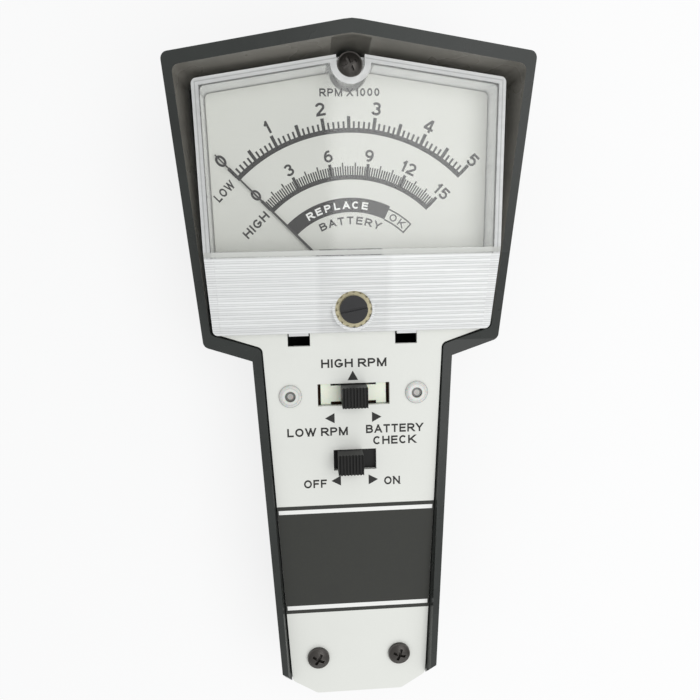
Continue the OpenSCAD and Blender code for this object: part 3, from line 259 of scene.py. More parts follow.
def solid_look(name, color, rough=0.5, metal=0.0, vary=0.12, patch=60, grain=2500, depth=2e-5,
               brush=None, edge=0.0, spec=0.5, coat=0.0, sub=0.0, paint=None):
    """Colour in patches, grain in bump and roughness, brushed lines, and lighter edges that are partly wear
    and partly a painted highlight.

    vary is how much lighter and darker the patches are. patch and grain are scales of noise, brush is the
    scale and the stretch of brushed lines, and depth is the height of the grain in metres. edge is how much
    the edges are lightened, partly as wear and partly as a painted highlight, and paint is a function that
    adds what only one material has.
    """
    color = linear(*color)
    n = Nodes(name)
    p = n.add("ShaderNodeBsdfPrincipled")
    p.inputs["Metallic"].default_value = metal
    p.inputs["Specular IOR Level"].default_value = spec
    p.inputs["Coat Weight"].default_value = coat
    patches = n.noise(patch, 3, 0.6)
    fine = n.noise(grain, 2, 0.6)
    col = n.mix(n.ramp(patches, *SPREAD), shade(color, 1 - vary), shade(color, 1 + vary))
    col = n.mix(n.ramp(fine, *FINE_SPREAD, 0.0, 0.35), col, shade(color, 1 - vary))
    height = fine
    gloss = n.ramp(patches, *SPREAD, rough - 0.08, rough + 0.08)
    if brush:
        lines = n.noise(brush[0], 2, 0.5, stretch=brush[1])
        col = n.mix(n.ramp(lines, *SPREAD, 0.0, 0.5), col, shade(color, 1 + 1.2 * vary))
        height = n.plus(n.times(lines, 0.8), n.times(fine, 0.4))
        gloss = n.math("ADD", gloss, n.ramp(lines, *SPREAD, -0.06, 0.06), clamp=True)
    if paint:
        col = paint(n, col)
    # Lighter edges: worn bare on the metals; on the plastics partly wear and partly a painted highlight
    if edge:
        wear_and_highlight = n.times(n.edges(), n.ramp(n.noise(400, 3), *FINE_SPREAD, 0.4, 1.0), edge)
        col = n.mix(wear_and_highlight, col, shade(color, 2.2 if metal < 0.5 else 1.4))
        gloss = n.math("SUBTRACT", gloss, n.times(wear_and_highlight, 0.15), clamp=True)
    n.put(p.inputs["Base Color"], col)
    n.put(p.inputs["Roughness"], gloss)
    if sub:
        p.inputs["Subsurface Weight"].default_value = sub
        p.inputs["Subsurface Scale"].default_value = 1 * MM
    n.put(p.inputs["Normal"], n.bump(height, depth))
    n.link(p.outputs[0], n.out.inputs[0])
    return n.mat


def rivet_rings(n, col):
    """Painted shade and a painted highlight on each nylon rivet: dark rings at the steps of its face, a dark
    grey ring of painted shade in the hole at its middle, and a light middle.
    """
    x, y, _ = n.place()
    near = n.least(n.away(x, y, RIVETS[0]), n.away(x, y, RIVETS[1]))
    # Inner and outer radius of each painted shade ring, and its grey
    for inner, outer, tone in ((3.25, 3.65, 186), (2.4, 2.7, 200), (0.8, 1.6, 104)):
        col = n.mix(n.between(near, inner, outer), col, linear(tone, tone, tone - 3))
    # Painted highlight in the middle of the hole
    return n.mix(n.under(near, 0.75, 0.15), col, linear(176, 174, 170))


def hood_dust(n, col):
    """Painted sheen on the upright walls inside the hood: a grey in streaks that stands for their reflection
    of the bright dial and panel, and fades in above the panel and the handle.
    """
    x, y, z = n.place()
    nx, ny, nz = n.facing()
    head_middle_y = 55
    inward = n.plus(n.times(nx, n.times(x, -1.0)), n.times(ny, n.minus(head_middle_y, y)))
    streaks = n.ramp(n.noise(70, 4, 0.6, stretch=(1, 1, 0.3)), *SPREAD, 0.75, 1.0)
    dust_and_sheen = n.times(n.over(inward, 7, 3), n.over(z, FACE + 3, 2), n.over(y, 16, 4), n.under(nz, 0.6), streaks)
    # Light grey painted sheen in place of the walls' reflection of the dial and panel
    return n.mix(dust_and_sheen, col, linear(126, 123, 116))


def board_lines(n, col):
    """Copper tracks under green lacquer."""
    b = n.add("ShaderNodeTexBrick")
    b.inputs["Scale"].default_value = 240
    b.inputs["Mortar Size"].default_value = 0.06
    n.link(n.at, b.inputs["Vector"])
    return n.mix(n.times(b.outputs["Fac"], 0.7), col, linear(120, 150, 80))


# The clear cover

def cover_zones(n):
    """Masks of the cover: its ribbed ramp, rim, upright walls, bend, boss and collar, and the line of a
    small step round its rim, where a painted shade line goes.
    """
    x, y, z = n.place()
    upright = n.under(n.absolute(n.facing()[2]), 0.4)
    across = n.absolute(x)
    half = n.plus(COVER_HALF, n.times(n.minus(y, COVER_TOE), COVER_SPREAD))
    top = n.minus(COVER_PEAK, n.times(across, COVER_FALL))
    to_rim = n.least(n.minus(half, across), n.minus(top, y))
    from_boss = n.away(x, y, BOSS_AT)
    from_collar = n.away(x, y, COLLAR_AT)
    ring = n.times(n.under(from_boss, BOSS_R), n.over(z, COVER_TOP - 0.5))
    column = n.most(n.under(from_boss, BOSS_R + 0.8, 0.2), n.under(from_collar, COLLAR_R, 0.2))
    tube = n.times(upright, column)
    return SimpleNamespace(
        ramp=n.under(y, RIB_TOP + 0.2),
        rim=n.most(n.under(to_rim, COVER_WALL), ring),
        upright=n.minus(upright, n.times(tube, 0.94)),
        bend=n.times(n.over(y, COVER_CREASE - 1.15, 0.15), n.under(y, COVER_CREASE + 0.225, 0.125)),
        tube=tube,
        middle=n.under(across, 10.2, 1),
        seam=n.between(to_rim, 0.75, 1.05, 0.05))


def rib_lines(n):
    """Two thin painted shade lines for each rib: one along the valley beside it and one near its crown."""
    y = n.place()[1]
    along = n.math("FRACT", n.math("DIVIDE", n.minus(y, RIB_FOOT), RIB_PITCH))
    from_middle = n.absolute(n.minus(along, 0.5))
    from_crown = n.absolute(n.minus(along, 0.42))
    return n.most(n.over(from_middle, 0.425, 0.045), n.times(n.under(from_crown, 0.085, 0.045), 0.95))


def clear_look(name, color, haze, rough):
    """Clear moulding: gloss by the angle of view, dust, and a milky look where it is ribbed or upright, with
    painted shade lines on the ribs and round the rim, and the bend painted in the grey of the dial seen
    through it.

    A transparent shader is mixed with a mirror for the gloss, which turns to white plastic in milky zones.
    """
    color = linear(*color)
    n = Nodes(name)
    p = n.add("ShaderNodeBsdfPrincipled")
    clear_through = n.add("ShaderNodeBsdfTransparent")
    blend = n.add("ShaderNodeMixShader")
    fresnel = n.add("ShaderNodeFresnel")
    fresnel.inputs["IOR"].default_value = 1.37
    zone = cover_zones(n)
    scratch = n.noise(900, 3, 0.6, stretch=(0.15, 1, 1))
    dust_and_sheen = n.noise(2600, 2, 0.7)
    streak = n.noise(160, 3, 0.6, stretch=(0.12, 3, 1))

    ramp_milk = n.times(zone.ramp, n.minus(0.87, n.times(zone.middle, 0.09)))
    milk = n.most(ramp_milk, n.times(zone.rim, 0.6), n.times(zone.upright, 0.94), n.times(zone.bend, 0.7))
    milk = n.times(milk, n.ramp(streak, *SPREAD, 0.93, 1.0))
    milky = (0.05, 0.2)

    white = n.mix(n.ramp(streak, *SPREAD), shade(color, 0.93), color)
    # Painted shade lines along the ribs of the ramp
    white = n.mix(n.times(rib_lines(n), zone.ramp, 0.8), white, shade(color, 0.66))
    # Painted shade line where a small step runs round the rim, in place of the step's own shading
    seam = n.times(zone.seam, zone.rim, n.math("SUBTRACT", 0.75, zone.ramp, clamp=True))
    white = n.mix(seam, white, shade(color, 0.55))
    # The bend is painted in the grey of the lit dial: a painted view of the dial through the curve
    white = n.mix(n.times(zone.bend, 0.8), white, linear(212, 213, 207))
    glass = n.mix(n.ramp(scratch, 0.4, 0.7), shade(color, 0.97), color)
    n.put(p.inputs["Base Color"], n.mix(n.ramp(milk, *milky), glass, white))
    n.put(p.inputs["Metallic"], n.ramp(milk, *milky, 1.0, 0.0))
    n.put(p.inputs["Roughness"], n.ramp(scratch, *SPREAD, rough, rough + 0.05))
    n.put(p.inputs["Normal"], n.bump(scratch, 4e-6))

    gloss = n.least(fresnel.outputs[0], 0.3)
    gloss = n.minus(gloss, n.times(zone.tube, gloss, 0.8))
    amount = n.plus(gloss, n.ramp(dust_and_sheen, 0.35, 0.75, haze * 0.6, haze * 1.4))
    n.link(n.least(n.most(amount, milk), 1.0), blend.inputs[0])
    n.link(clear_through.outputs[0], blend.inputs[1])
    n.link(p.outputs[0], blend.inputs[2])
    n.link(blend.outputs[0], n.out.inputs[0])
    return n.mat


# Looks of the record's material slots
LOOKS = {
    # The housing's lighter edges are partly a painted highlight, and its paint is a painted sheen on the
    # inner walls of the hood.
    "housing_plastic": dict(color=(46, 49, 47), rough=0.3, grain=3500, depth=1.2e-5, vary=0.14, patch=45,
                            edge=0.25, spec=0.25, paint=hood_dust),
    "panel_plastic": dict(color=(231, 232, 226), rough=0.45, grain=1800, depth=8e-6, vary=0.02, patch=35,
                          spec=0.3),
    "blackened_steel": dict(color=(62, 59, 56), rough=0.36, metal=0.55, grain=3000, depth=1e-5, vary=0.25,
                            edge=0.7),
    "dial_metal": dict(color=(219, 220, 213), grain=2600, depth=6e-6, vary=0.025, patch=30,
                       brush=(1400, (0.04, 1, 1)), spec=0.3),
    # The rivets' paint is painted shade rings and a painted highlight.
    "nylon": dict(color=(222, 223, 218), rough=0.25, grain=900, depth=1e-5, vary=0.05, spec=0.6, sub=0.2,
                  paint=rivet_rings),
    "knob_plastic": dict(color=(27, 27, 26), rough=0.4, grain=3200, depth=1.2e-5, vary=0.2, edge=0.35,
                         spec=0.2),
    "ivory_plastic": dict(color=(246, 249, 232), rough=0.4, grain=1500, depth=8e-6, vary=0.04, sub=0.15),
    "bronze": dict(color=(190, 140, 84), rough=0.3, metal=1, vary=0.15, brush=(900, (0.1, 1, 1))),
    "steel": dict(color=(180, 182, 184), rough=0.36, metal=1, vary=0.1, brush=(1100, (0.08, 1, 1)),
                  edge=0.3),
    "phenolic": dict(color=(110, 72, 44), vary=0.2, grain=1200, brush=(500, (1, 0.2, 1))),
    "tinned_metal": dict(color=(200, 198, 186), rough=0.42, metal=1),
    "pointer_paint": dict(color=(34, 33, 33), rough=0.6, vary=0.15, grain=3000, depth=6e-6),
    "copper": dict(color=(168, 98, 58), rough=0.35, metal=1, vary=0.15),
    "brass": dict(color=(160, 153, 126), rough=0.42, metal=0.6, vary=0.2, patch=220, edge=0.4),
    "screw_plastic": dict(color=(26, 26, 28), rough=0.4, vary=0.2, edge=0.6, spec=0.3),
    "soft_iron": dict(color=(128, 130, 133), rough=0.45, metal=1, vary=0.15, brush=(900, (1, 1, 0.1)),
                      edge=0.3),
    "magnet": dict(color=(104, 112, 122), rough=0.6, metal=0.7, vary=0.25, grain=900, depth=6e-5),
    "board": dict(color=(52, 98, 52), rough=0.35, paint=board_lines, coat=0.3),
    "black_epoxy": dict(color=(40, 40, 41), rough=0.62, vary=0.18, grain=1800, depth=3e-5),
    "resistor_body": dict(color=(200, 170, 124), rough=0.3, vary=0.1, coat=0.4),
    "blue_sleeve": dict(color=(42, 88, 150), rough=0.3, vary=0.1, coat=0.2),
    "ceramic_disc": dict(color=(196, 132, 58), rough=0.3, coat=0.3, grain=700, depth=6e-5),
    "grey_lead": dict(color=(176, 176, 174), rough=0.35, vary=0.08),
    "battery_case": dict(color=(74, 76, 84), rough=0.3, metal=0.5, edge=0.4, coat=0.3),
    "snap_vinyl": dict(color=(40, 40, 41), vary=0.15, grain=1500, depth=4e-5),
    "foam": dict(color=(84, 84, 88), rough=0.95, vary=0.3, grain=900, depth=3e-4, spec=0.1),
    "red_lead": dict(color=(178, 40, 34), rough=0.35, vary=0.1),
    "black_lead": dict(color=(36, 36, 36), rough=0.35, vary=0.15),
    "yellow_lead": dict(color=(214, 188, 60), rough=0.35, vary=0.1),
    "green_lead": dict(color=(48, 128, 68), rough=0.35, vary=0.1),
}
MATS = {name: solid_look(name, **look) for name, look in LOOKS.items()}
MATS["clear_plastic"] = clear_look("clear_plastic", (252, 253, 252), haze=0.008, rough=0.05)

# Printing inks
INK = solid_look("ink", (28, 27, 26), 0.42, vary=0.1, patch=300, grain=2400, depth=3e-6, spec=0.3)
PANEL_INK = solid_look("panel_ink", (33, 33, 31), patch=120, grain=1400, depth=4e-6, spec=0.3)
BAND_INK = solid_look("band_ink", (46, 47, 43), patch=120, grain=1400, depth=4e-6, spec=0.3)
WHITE_INK = solid_look("white_ink", (243, 243, 240), vary=0.03, grain=2000, depth=3e-6)

for part in frame["record"]["subparts"]:
    ob = nodes[part["node"]]
    ob.data.materials.clear()
    ob.data.materials.append(MATS[part["material_slot"]])


# Rounded edges on the moulded and machined pieces

def round_edges(node, width):
    """Rounds the edges that turn by more than 35 degrees, by a width in millimetres."""
    ob = nodes[node]
    weld = ob.modifiers.new("weld", "WELD")
    weld.merge_threshold = 1e-6
    b = ob.modifiers.new("round", "BEVEL")
    b.width = width * MM
    b.segments = 2
    b.limit_method = "ANGLE"
    b.angle_limit = math.radians(35)


for node, width in (("housing", 0.3), ("front_panel", 0.12), ("range_knob", 0.1),
                    ("power_knob", 0.1), ("window_cover", 0.15), ("dial_plate", 0.1)):
    round_edges(node, width)


# Printed marks: thin solids, from just under the surface that they are printed on to just over it. A
# layer is the lowest and highest z of a print. White goes over black.
DIAL_LAYER = (DIAL - 0.02, DIAL + 0.03)
TICK_LAYER = (DIAL_LAYER[0], DIAL_LAYER[1] - 0.003)
DIAL_WHITE_LAYER = (DIAL_LAYER[1] - 0.01, DIAL_LAYER[1] + 0.02)
PANEL_LAYER = (FACE - 0.02, FACE + 0.03)
PANEL_WHITE_LAYER = (PANEL_LAYER[1] - 0.01, PANEL_LAYER[1] + 0.02)


def to_object(name, bm, material):
    """Turns a mesh in millimetres into a piece that rides on the case."""
    bmesh.ops.recalc_face_normals(bm, faces=bm.faces)
    me = bpy.data.meshes.new(name)
    bm.to_mesh(me)
    bm.free()
    me.transform(Matrix.Scale(MM, 4))
    ob = bpy.data.objects.new(name, me)
    scene.collection.objects.link(ob)
    me.materials.append(material)
    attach(ob, "case")


def prism(bm, pts, layer):
    """Solid over an outline."""
    low, high = [[bm.verts.new((x, y, z)) for x, y in pts] for z in layer]
    bm.faces.new(low[::-1])
    bm.faces.new(high)
    for i in range(len(pts)):
        j = (i + 1) % len(pts)
        bm.faces.new((low[i], low[j], high[j], high[i]))


def polar(r, deg):
    """Point at radius r from the pivot, the angle clockwise from the top."""
    a = math.radians(deg)
    return (r * math.sin(a), PIVOT + r * math.cos(a))


def arc(bm, r0, r1, a0, a1, layer, steps=60):
    """Curved bar round the pivot between two radii and two angles."""
    inner = [polar(r0, a0 + (a1 - a0) * i / steps) for i in range(steps + 1)]
    outer = [polar(r1, a0 + (a1 - a0) * i / steps) for i in range(steps + 1)]
    z0, z1 = layer
    rows = [[bm.verts.new((x, y, z)) for x, y in line]
            for line, z in ((inner, z0), (outer, z0), (outer, z1), (inner, z1))]
    for i in range(steps):
        for k in range(4):
            a, b = rows[k], rows[(k + 1) % 4]
            bm.faces.new((a[i], b[i], b[i + 1], a[i + 1]))
    bm.faces.new([row[0] for row in rows])
    bm.faces.new([row[steps] for row in rows][::-1])


def tick(bm, deg, r0, r1, width, layer):
    """Straight bar that points away from the pivot."""
    a = math.radians(deg)
    out = (math.sin(a), math.cos(a))
    side = (math.cos(a), -math.sin(a))
    pts = [(r * out[0] + k * width / 2 * side[0], PIVOT + r * out[1] + k * width / 2 * side[1])
           for r, k in ((r0, -1), (r1, -1), (r1, 1), (r0, 1))]
    prism(bm, pts, layer)


# Lettering: plain sans capitals and digits drawn as strokes in a cap height of 1. Each glyph has a width
# and strokes, whose points run from 0 to 1 between the middles of the outer strokes.

def bow(cx, cy, rx, ry, a0, a1, steps=12):
    """Points along an elliptical arc."""
    angles = [math.radians(a0 + (a1 - a0) * i / steps) for i in range(steps + 1)]
    return [(cx + rx * math.cos(a), cy + ry * math.sin(a)) for a in angles]


STEM = [(0, 0), (0, 1)]
RIGHT = [(1, 0), (1, 1)]
TOP = [(0, 1), (1, 1)]
FOOT = [(0, 0), (1, 0)]
RING = bow(0.5, 0.5, 0.5, 0.5, 0, 360, 28)
BOWL = [(0, 1)] + bow(0.55, 0.735, 0.45, 0.265, 90, -90) + [(0, 0.47)]
SIX = [bow(0.5, 0.31, 0.5, 0.31, 0, 360, 24), bow(0.62, 0.4, 0.62, 0.6, 188, 72)]
NINE = [[(1 - x, 1 - y) for x, y in path] for path in SIX]
GLYPHS = {
    "A": (0.98, [[(0, 0), (0.5, 1)], [(1, 0), (0.5, 1)], [(0.16, 0.3), (0.84, 0.3)]]),
    "B": (0.92, [STEM, [(0, 1)] + bow(0.5, 0.765, 0.42, 0.235, 90, -90) + [(0, 0.53)],
                 [(0, 0.53)] + bow(0.55, 0.265, 0.45, 0.265, 90, -90) + [(0, 0)]]),
    "C": (0.97, [bow(0.5, 0.5, 0.5, 0.5, 42, 318, 24)]),
    "E": (0.84, [STEM, TOP, [(0, 0.53), (0.92, 0.53)], FOOT]),
    "F": (0.79, [STEM, TOP, [(0, 0.5), (0.85, 0.5)]]),
    "G": (1.0, [bow(0.5, 0.5, 0.5, 0.5, 42, 325, 24), [(0.58, 0.42), (0.98, 0.42)],
                [(0.98, 0.42), (0.98, 0.12)]]),
    "H": (0.94, [STEM, RIGHT, [(0, 0.53), (1, 0.53)]]),
    "I": (0.0, [STEM]),
    "K": (0.98, [STEM, [(0, 0.3), (0.92, 1)], [(0.34, 0.56), (1, 0)]]),
    "L": (0.78, [STEM, FOOT]),
    "M": (1.1, [STEM, RIGHT, [(0.02, 1), (0.5, 0)], [(0.98, 1), (0.5, 0)]]),
    "N": (0.95, [STEM, RIGHT, [(0.02, 1), (0.98, 0)]]),
    "O": (1.03, [RING]),
    "P": (0.88, [STEM, BOWL]),
    "R": (0.95, [STEM, BOWL, [(0.5, 0.45), (1, 0)]]),
    "T": (0.86, [TOP, [(0.5, 0), (0.5, 1)]]),
    "W": (1.36, [[(0, 1), (0.27, 0)], [(0.5, 1), (0.27, 0)], [(0.5, 1), (0.73, 0)],
                 [(1, 1), (0.73, 0)]]),
    "X": (0.93, [[(0, 0), (1, 1)], [(0, 1), (1, 0)]]),
    "Y": (0.93, [[(0, 1), (0.5, 0.42)], [(1, 1), (0.5, 0.42)], [(0.5, 0), (0.5, 0.46)]]),
    "0": (0.74, [RING]),
    "1": (0.4, [RIGHT, [(1, 0.97), (0.05, 0.7)]]),
    "2": (0.74, [bow(0.48, 0.71, 0.5, 0.29, 165, -28) + [(0.12, 0.12)], [(0.12, 0.2), (0, 0)], FOOT]),
    "3": (0.74, [bow(0.47, 0.765, 0.44, 0.235, 160, -90), bow(0.48, 0.265, 0.52, 0.265, 90, -162)]),
    "4": (0.78, [[(0.72, 0), (0.72, 1)], [(0.6, 1), (0, 0.28)], [(0.02, 0.22), (1, 0.22)]]),
    "5": (0.74, [[(0.2, 1), (0.92, 1)], [(0.14, 1), (0.04, 0.46)],
                 bow(0.48, 0.325, 0.52, 0.325, 148, -155)]),
    "6": (0.74, SIX),
    "9": (0.74, NINE),
    " ": (0.2, []),
}


def cut_band(pts):
    """The part of a convex outline between the foot and the top of the letters."""
    for sign, limit in ((1, 0), (-1, -1)):
        kept = []
        for i, a in enumerate(pts):
            b = pts[(i + 1) % len(pts)]
            da = sign * a[1] - limit
            db = sign * b[1] - limit
            if da >= 0:
                kept.append(a)
            if (da > 0 > db) or (da < 0 < db):
                k = da / (da - db)
                kept.append((a[0] + k * (b[0] - a[0]), a[1] + k * (b[1] - a[1])))
        pts = kept
    return pts


def stroke_quads(path, half):
    """Quads with mitred joints along a path; straight ends run on to the outline of the letter."""
    p = [Vector(q) for q in path]
    ring = (p[0] - p[-1]).length < 1e-6
    if ring:
        p = p[:-1]
    else:
        for end, inner in ((0, 1), (-1, -2)):
            d = (p[end] - p[inner]).normalized()
            if abs(d.y) < 1e-3:
                p[end] += d * half
            elif len(path) == 2 and (p[end].y < half + 1e-6 or p[end].y > 1 - half - 1e-6):
                p[end] += d * half * 3
    count = len(p)
    rails = []
    for i in range(count):
        before = p[i] - p[i - 1] if ring or i else p[1] - p[0]
        after = p[(i + 1) % count] - p[i] if ring or i < count - 1 else p[-1] - p[-2]
        n0 = Vector((-before.y, before.x)).normalized()
        n1 = Vector((-after.y, after.x)).normalized()
        mitre = (n0 + n1) / (1 + n0.dot(n1)) * half
        rails.append((p[i] + mitre, p[i] - mitre))
    for i in range(count if ring else count - 1):
        a, b = rails[i], rails[(i + 1) % count]
        yield [tuple(a[1]), tuple(b[1]), tuple(b[0]), tuple(a[0])]


def letter_quads(text, weight, gap):
    """Quads of all strokes of a text in a cap height of 1, and the text's width."""
    half = weight / 2
    quads, x = [], 0.0
    for c in text:
        wide, strokes = GLYPHS[c]
        wide = max(wide, weight)
        for path in strokes:
            path = [(x + half + u * (wide - weight), half + v * (1 - weight)) for u, v in path]
            for quad in stroke_quads(path, half):
                quad = cut_band(quad)
                if len(quad) > 2:
                    quads.append(quad)
        x += wide + gap
    return quads, x - gap


def merged(quads):
    """Points and triangles of the area that the quads cover, without overlaps."""
    points, polys = [], []
    for quad in quads:
        area = sum(a[0] * b[1] - b[0] * a[1] for a, b in zip(quad, quad[1:] + quad[:1]))
        quad = quad if area > 0 else quad[::-1]
        polys.append(list(range(len(points), len(points) + len(quad))))
        points += [Vector(q) for q in quad]
    flat = delaunay_2d_cdt(points, [], polys, 0, 1e-4)
    return flat[0], [tri for tri, origin in zip(flat[2], flat[5]) if origin]


def word(bm, text, at, height, layer, width=None, turn=0.0, weight=0.17, gap=0.19):
    """Raised lettering of a cap height, centred on at, stretched to a width, turned anticlockwise."""
    quads, total = letter_quads(text, weight, gap)
    points, triangles = merged(quads)
    kx = width / total if width else height
    place = Matrix.Translation((at[0], at[1], 0)) @ Matrix.Rotation(math.radians(turn), 4, "Z")
    low, high = [[bm.verts.new(place @ Vector(((v.x - total / 2) * kx, (v.y - 0.5) * height, z)))
                  for v in points] for z in layer]
    used = {}
    for tri in triangles:
        bm.faces.new([high[i] for i in tri])
        bm.faces.new([low[i] for i in reversed(tri)])
        for a, b in zip(tri, tri[1:] + tri[:1]):
            used[(a, b)] = True
    for a, b in used:
        if (b, a) not in used:
            bm.faces.new((low[a], low[b], high[b], high[a]))
    for v in low + high:
        if not v.link_faces:
            bm.verts.remove(v)


def arc_word(bm, text, r, a0, a1, height, layer, weight):
    """Letters spaced evenly along an arc, between the middles of the first and last."""
    for i, c in enumerate(text):
        a = a0 + (a1 - a0) * i / (len(text) - 1)
        wide = max(GLYPHS[c][0], weight) * height
        word(bm, c, polar(r, a), height, layer, turn=-a, weight=weight, width=wide)


# Prints of the dial. Angles are in degrees, clockwise from the top, and radii are from the pivot. The arcs
# of the two scales run half a degree past their first and last mark.
ARC_PAST = 0.5
DIGIT_WEIGHT = 0.185


def outer_scale():
    """Low range: 0 to 5, with ten parts to each unit."""
    start, unit = -44.4, 17.74
    digit_radii = (51.8, 51.4, 51.4, 51.4, 51.4, 50.9)
    bm = bmesh.new()
    arc(bm, 44.4, 45.7, start - ARC_PAST, start + 5 * unit + ARC_PAST, DIAL_LAYER)
    for i in range(51):
        outer, width = (48.9, 0.95) if i % 5 == 0 else (47.5, 0.56)
        tick(bm, start + unit * i / 10, 45.6, outer, width, TICK_LAYER)
    for i, r in enumerate(digit_radii):
        a = start + unit * i
        word(bm, str(i), polar(r, a), 3.6, DIAL_LAYER, turn=-a, weight=DIGIT_WEIGHT)
    to_object("outer_scale", bm, INK)


def inner_scale():
    """High range: 0 to 15, with five parts to each unit and a number at every third."""
    start, unit = -44.3, 5.8667
    bm = bmesh.new()
    arc(bm, 31.5, 32.75, start - ARC_PAST, start + 15 * unit + ARC_PAST, DIAL_LAYER)
    for i in range(76):
        outer, width = (36.2, 0.4) if i % 5 == 0 else (35.2, 0.4)
        if i % 15 == 0:
            outer, width = 36.1, 0.85
        tick(bm, start + unit * i / 5, 32.65, outer, width, TICK_LAYER)
    for number in range(0, 16, 3):
        a = start + unit * number
        word(bm, str(number), polar(38.4, a), 3.3, DIAL_LAYER, turn=-a, weight=DIGIT_WEIGHT)
    to_object("inner_scale", bm, INK)


def battery_scale():
    """Filled bar for a spent battery, open box for a good one, and the word under them."""
    bar_start, bar_end, box_end = -44.5, 25.8, 43.0
    bm = bmesh.new()
    arc(bm, 22.35, 26.4, bar_start, bar_end, DIAL_LAYER)
    arc(bm, 22.1, 22.5, bar_end, box_end, DIAL_LAYER, steps=16)
    arc(bm, 25.3, 25.7, bar_end, box_end, DIAL_LAYER, steps=16)
    tick(bm, box_end, 22.1, 25.7, 0.4, DIAL_LAYER)
    for letter, a, width in (("O", 31.0, 2.1), ("K", 37.9, 1.9)):
        word(bm, letter, polar(23.9, a), 2.1, DIAL_LAYER, turn=-a, width=width)
    arc_word(bm, "BATTERY", 20.0, -23.4, 22.6, 2.2, DIAL_LAYER, weight=0.2)
    to_object("battery_scale", bm, INK)


def battery_scale_letters():
    """White word on the filled bar."""
    bm = bmesh.new()
    arc_word(bm, "REPLACE", 24.35, -28.4, 9.9, 2.1, DIAL_WHITE_LAYER, weight=0.23)
    to_object("battery_scale_letters", bm, WHITE_INK)


def dial_words():
    """The unit under the screw, and the names of the two ranges beside their zeros."""
    bm = bmesh.new()
    unit_y, unit_height = 85.0, 2.15
    word(bm, "RPM X", (-3.38, unit_y), unit_height, DIAL_LAYER, width=9.4, weight=0.2, gap=0.25)
    word(bm, "1000", (5.4, unit_y), unit_height, DIAL_LAYER, width=6.8, weight=0.2, gap=0.27)
    range_turn, range_height = 44, 2.5
    for text, at, width in (("LOW", (-35.6, 58.4), 6.6), ("HIGH", (-27.1, 48.85), 8.9)):
        word(bm, text, at, range_height, DIAL_LAYER, turn=range_turn, width=width, weight=0.21, gap=0.22)
    to_object("dial_words", bm, INK)


# Prints of the panel

# Words: text, place of the middle, and width
PANEL_WORDS = (("HIGH RPM", (0.2, 7.8), 19.6), ("LOW RPM", (-11.2, -13.1), 18.3),
               ("BATTERY", (12.25, -12.75), 17.5), ("CHECK", (12.2, -16.4), 13.1),
               ("OFF", (-12.3, -29.45), 7.0), ("ON", (11.3, -29.3), 4.9))
PANEL_LETTER = 2.6
# Arrows: tip, and direction from the tip to the base
ARROWS = (((-0.2, 5.47), (0, -1)), ((-8.87, -8.98), (1, 0)), ((8.29, -9.02), (-1, 0)),
          ((-7.38, -28.72), (1, 0)), ((6.95, -28.74), (-1, 0)))
ARROW_LENGTH = 2.9
ARROW_HALF = 1.58


def panel_marks():
    """Words and arrows for the two switches."""
    bm = bmesh.new()
    for text, at, width in PANEL_WORDS:
        word(bm, text, at, PANEL_LETTER, PANEL_LAYER, width=width, weight=0.205)
    for tip, back in ARROWS:
        base = Vector(tip) + Vector(back) * ARROW_LENGTH
        side = Vector((-back[1], back[0])) * ARROW_HALF
        prism(bm, [tip, tuple(base + side), tuple(base - side)], PANEL_LAYER)
    to_object("panel_marks", bm, PANEL_INK)


# The handle: its end and length, half widths and walls at the end and at the neck, and the panel's gap
HANDLE_END = -93.231
HANDLE_LENGTH = 102.5
TAIL_HALF = 23.6
NECK_HALF = 29.8
TAIL_WALL = 1.8
NECK_WALL = 2.75
PANEL_GAP = 0.43


def panel_half(y):
    """Half width of the panel on the handle at y."""
    t = (y - HANDLE_END) / HANDLE_LENGTH
    return TAIL_HALF + (NECK_HALF - TAIL_HALF) * t - TAIL_WALL - (NECK_WALL - TAIL_WALL) * t - PANEL_GAP


def strip(bm, y0, y1, inset, layer):
    """Strip across the handle's panel, a little in from its sides."""
    half0 = panel_half(y0) - inset
    half1 = panel_half(y1) - inset
    prism(bm, [(-half0, y0), (half0, y0), (half1, y1), (-half1, y1)], layer)


def panel_band():
    """Black band, bare where the photo's title stands, and its two white lines."""
    bm = bmesh.new()
    strip(bm, -71.7, -36.4, 0.02, PANEL_LAYER)
    to_object("panel_band", bm, BAND_INK)
    bm = bmesh.new()
    for y0, y1 in ((-38.9, -37.62), (-70.5, -69.15)):
        strip(bm, y0, y1, 0.4, PANEL_WHITE_LAYER)
    to_object("panel_band_lines", bm, WHITE_INK)


outer_scale()
inner_scale()
battery_scale()
battery_scale_letters()
dial_words()
panel_marks()
panel_band()


# Floor, light and camera

def floor_material():
    """Pale floor, seen nearly white by the camera and in reflections, which still takes shadows."""
    n = Nodes("floor_white")
    p = n.add("ShaderNodeBsdfPrincipled")
    n.put(p.inputs["Base Color"], n.mix(n.noise(40, 3, 0.6), (0.9, 0.9, 0.9, 1), (0.93, 0.93, 0.93, 1)))
    p.inputs["Roughness"].default_value = 0.9
    p.inputs["Specular IOR Level"].default_value = 0.1
    glow = n.add("ShaderNodeEmission")
    glow.inputs["Color"].default_value = (1, 1, 1, 1)
    glow.inputs["Strength"].default_value = 1.0
    blend = n.add("ShaderNodeMixShader")
    ray = n.add("ShaderNodeLightPath").outputs
    seen = n.most(ray["Is Glossy Ray"], ray["Is Transmission Ray"], ray["Is Camera Ray"])
    n.link(n.times(seen, 0.8), blend.inputs[0])
    n.link(p.outputs[0], blend.inputs[1])
    n.link(glow.outputs[0], blend.inputs[2])
    n.link(blend.outputs[0], n.out.inputs[0])
    return n.mat


def add_floor():
    """Floor of twelve metres square, a hair under the object."""
    half = 6.0
    z = -0.0002
    me = bpy.data.meshes.new("floor")
    me.from_pydata([(-half, -half, z), (half, -half, z), (half, half, z), (-half, half, z)], [],
                   [(0, 1, 2, 3)])
    me.materials.append(floor_material())
    floor = bpy.data.objects.new("floor", me)
    scene.collection.objects.link(floor)


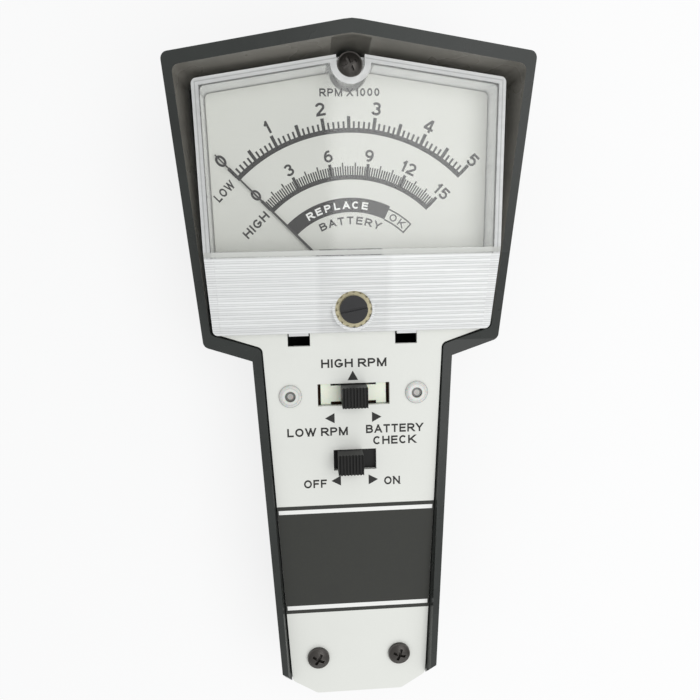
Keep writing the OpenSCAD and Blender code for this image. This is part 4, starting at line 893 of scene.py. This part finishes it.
def add_world():
    """Soft light all round; the camera, gloss and transmission see a pale background instead."""
    world = bpy.data.worlds.new("studio")
    scene.world = world
    world.use_nodes = True
    tree = world.node_tree
    tree.nodes.clear()

    def background(color, strength):
        b = tree.nodes.new("ShaderNodeBackground")
        b.inputs["Color"].default_value = (*color, 1)
        b.inputs["Strength"].default_value = strength
        return b.outputs[0]

    def either(a, b):
        most = tree.nodes.new("ShaderNodeMath")
        most.operation = "MAXIMUM"
        tree.links.new(a, most.inputs[0])
        tree.links.new(b, most.inputs[1])
        return most.outputs[0]

    ray = tree.nodes.new("ShaderNodeLightPath").outputs
    seen = either(ray["Is Camera Ray"], either(ray["Is Glossy Ray"], ray["Is Transmission Ray"]))
    mix = tree.nodes.new("ShaderNodeMixShader")
    tree.links.new(seen, mix.inputs[0])
    tree.links.new(background((0.97, 0.985, 1), 0.6), mix.inputs[1])
    tree.links.new(background((1, 1, 1), 0.97), mix.inputs[2])
    tree.links.new(mix.outputs[0], tree.nodes.new("ShaderNodeOutputWorld").inputs[0])


def softbox(name, at, look, size, radiance):
    """Rectangular lamp that looks at a point."""
    la = bpy.data.lights.new(name, "AREA")
    la.shape = "RECTANGLE"
    la.size, la.size_y = size
    la.energy = radiance * math.pi * size[0] * size[1]
    ob = bpy.data.objects.new(name, la)
    scene.collection.objects.link(ob)
    ob.location = at
    ob.rotation_euler = (Vector(look) - Vector(at)).to_track_quat("-Z", "Y").to_euler()


# Camera at the photo's angle. Its fit starts from the point between the rivets on the panel: the object
# turns about Y, X and Z, and then moves by VIEW_SHIFT to its place before the lens.
YAW, PITCH, ROLL = 0.07044, 0.15598, 0.02037
FIT_ORIGIN = Vector((0, -1.78, 29.5))
VIEW_SHIFT = Vector((1.149, -13.298, -210.813))


def add_camera():
    turn = Matrix.Rotation(ROLL, 3, "Z") @ Matrix.Rotation(PITCH, 3, "X") @ Matrix.Rotation(YAW, 3, "Y")
    back = turn.transposed()
    cam = bpy.data.cameras.new("camera")
    cam.sensor_width = 36
    cam.lens = 36
    cam.clip_start = 0.01
    cam.clip_end = 50
    eye = bpy.data.objects.new("camera", cam)
    scene.collection.objects.link(eye)
    eye.matrix_world = Matrix.Translation((FIT_ORIGIN - back @ VIEW_SHIFT) * MM) @ back.to_4x4()
    scene.camera = eye


add_floor()
add_world()
softbox("key", at=(0.235, 0.06, 0.56), look=(0.235, 0.06, 0), size=(0.43, 0.50), radiance=2.1)
softbox("low", at=(0.16, -0.50, 0.42), look=(0.02, -0.02, 0.03), size=(0.40, 0.40), radiance=1.1)
add_camera()
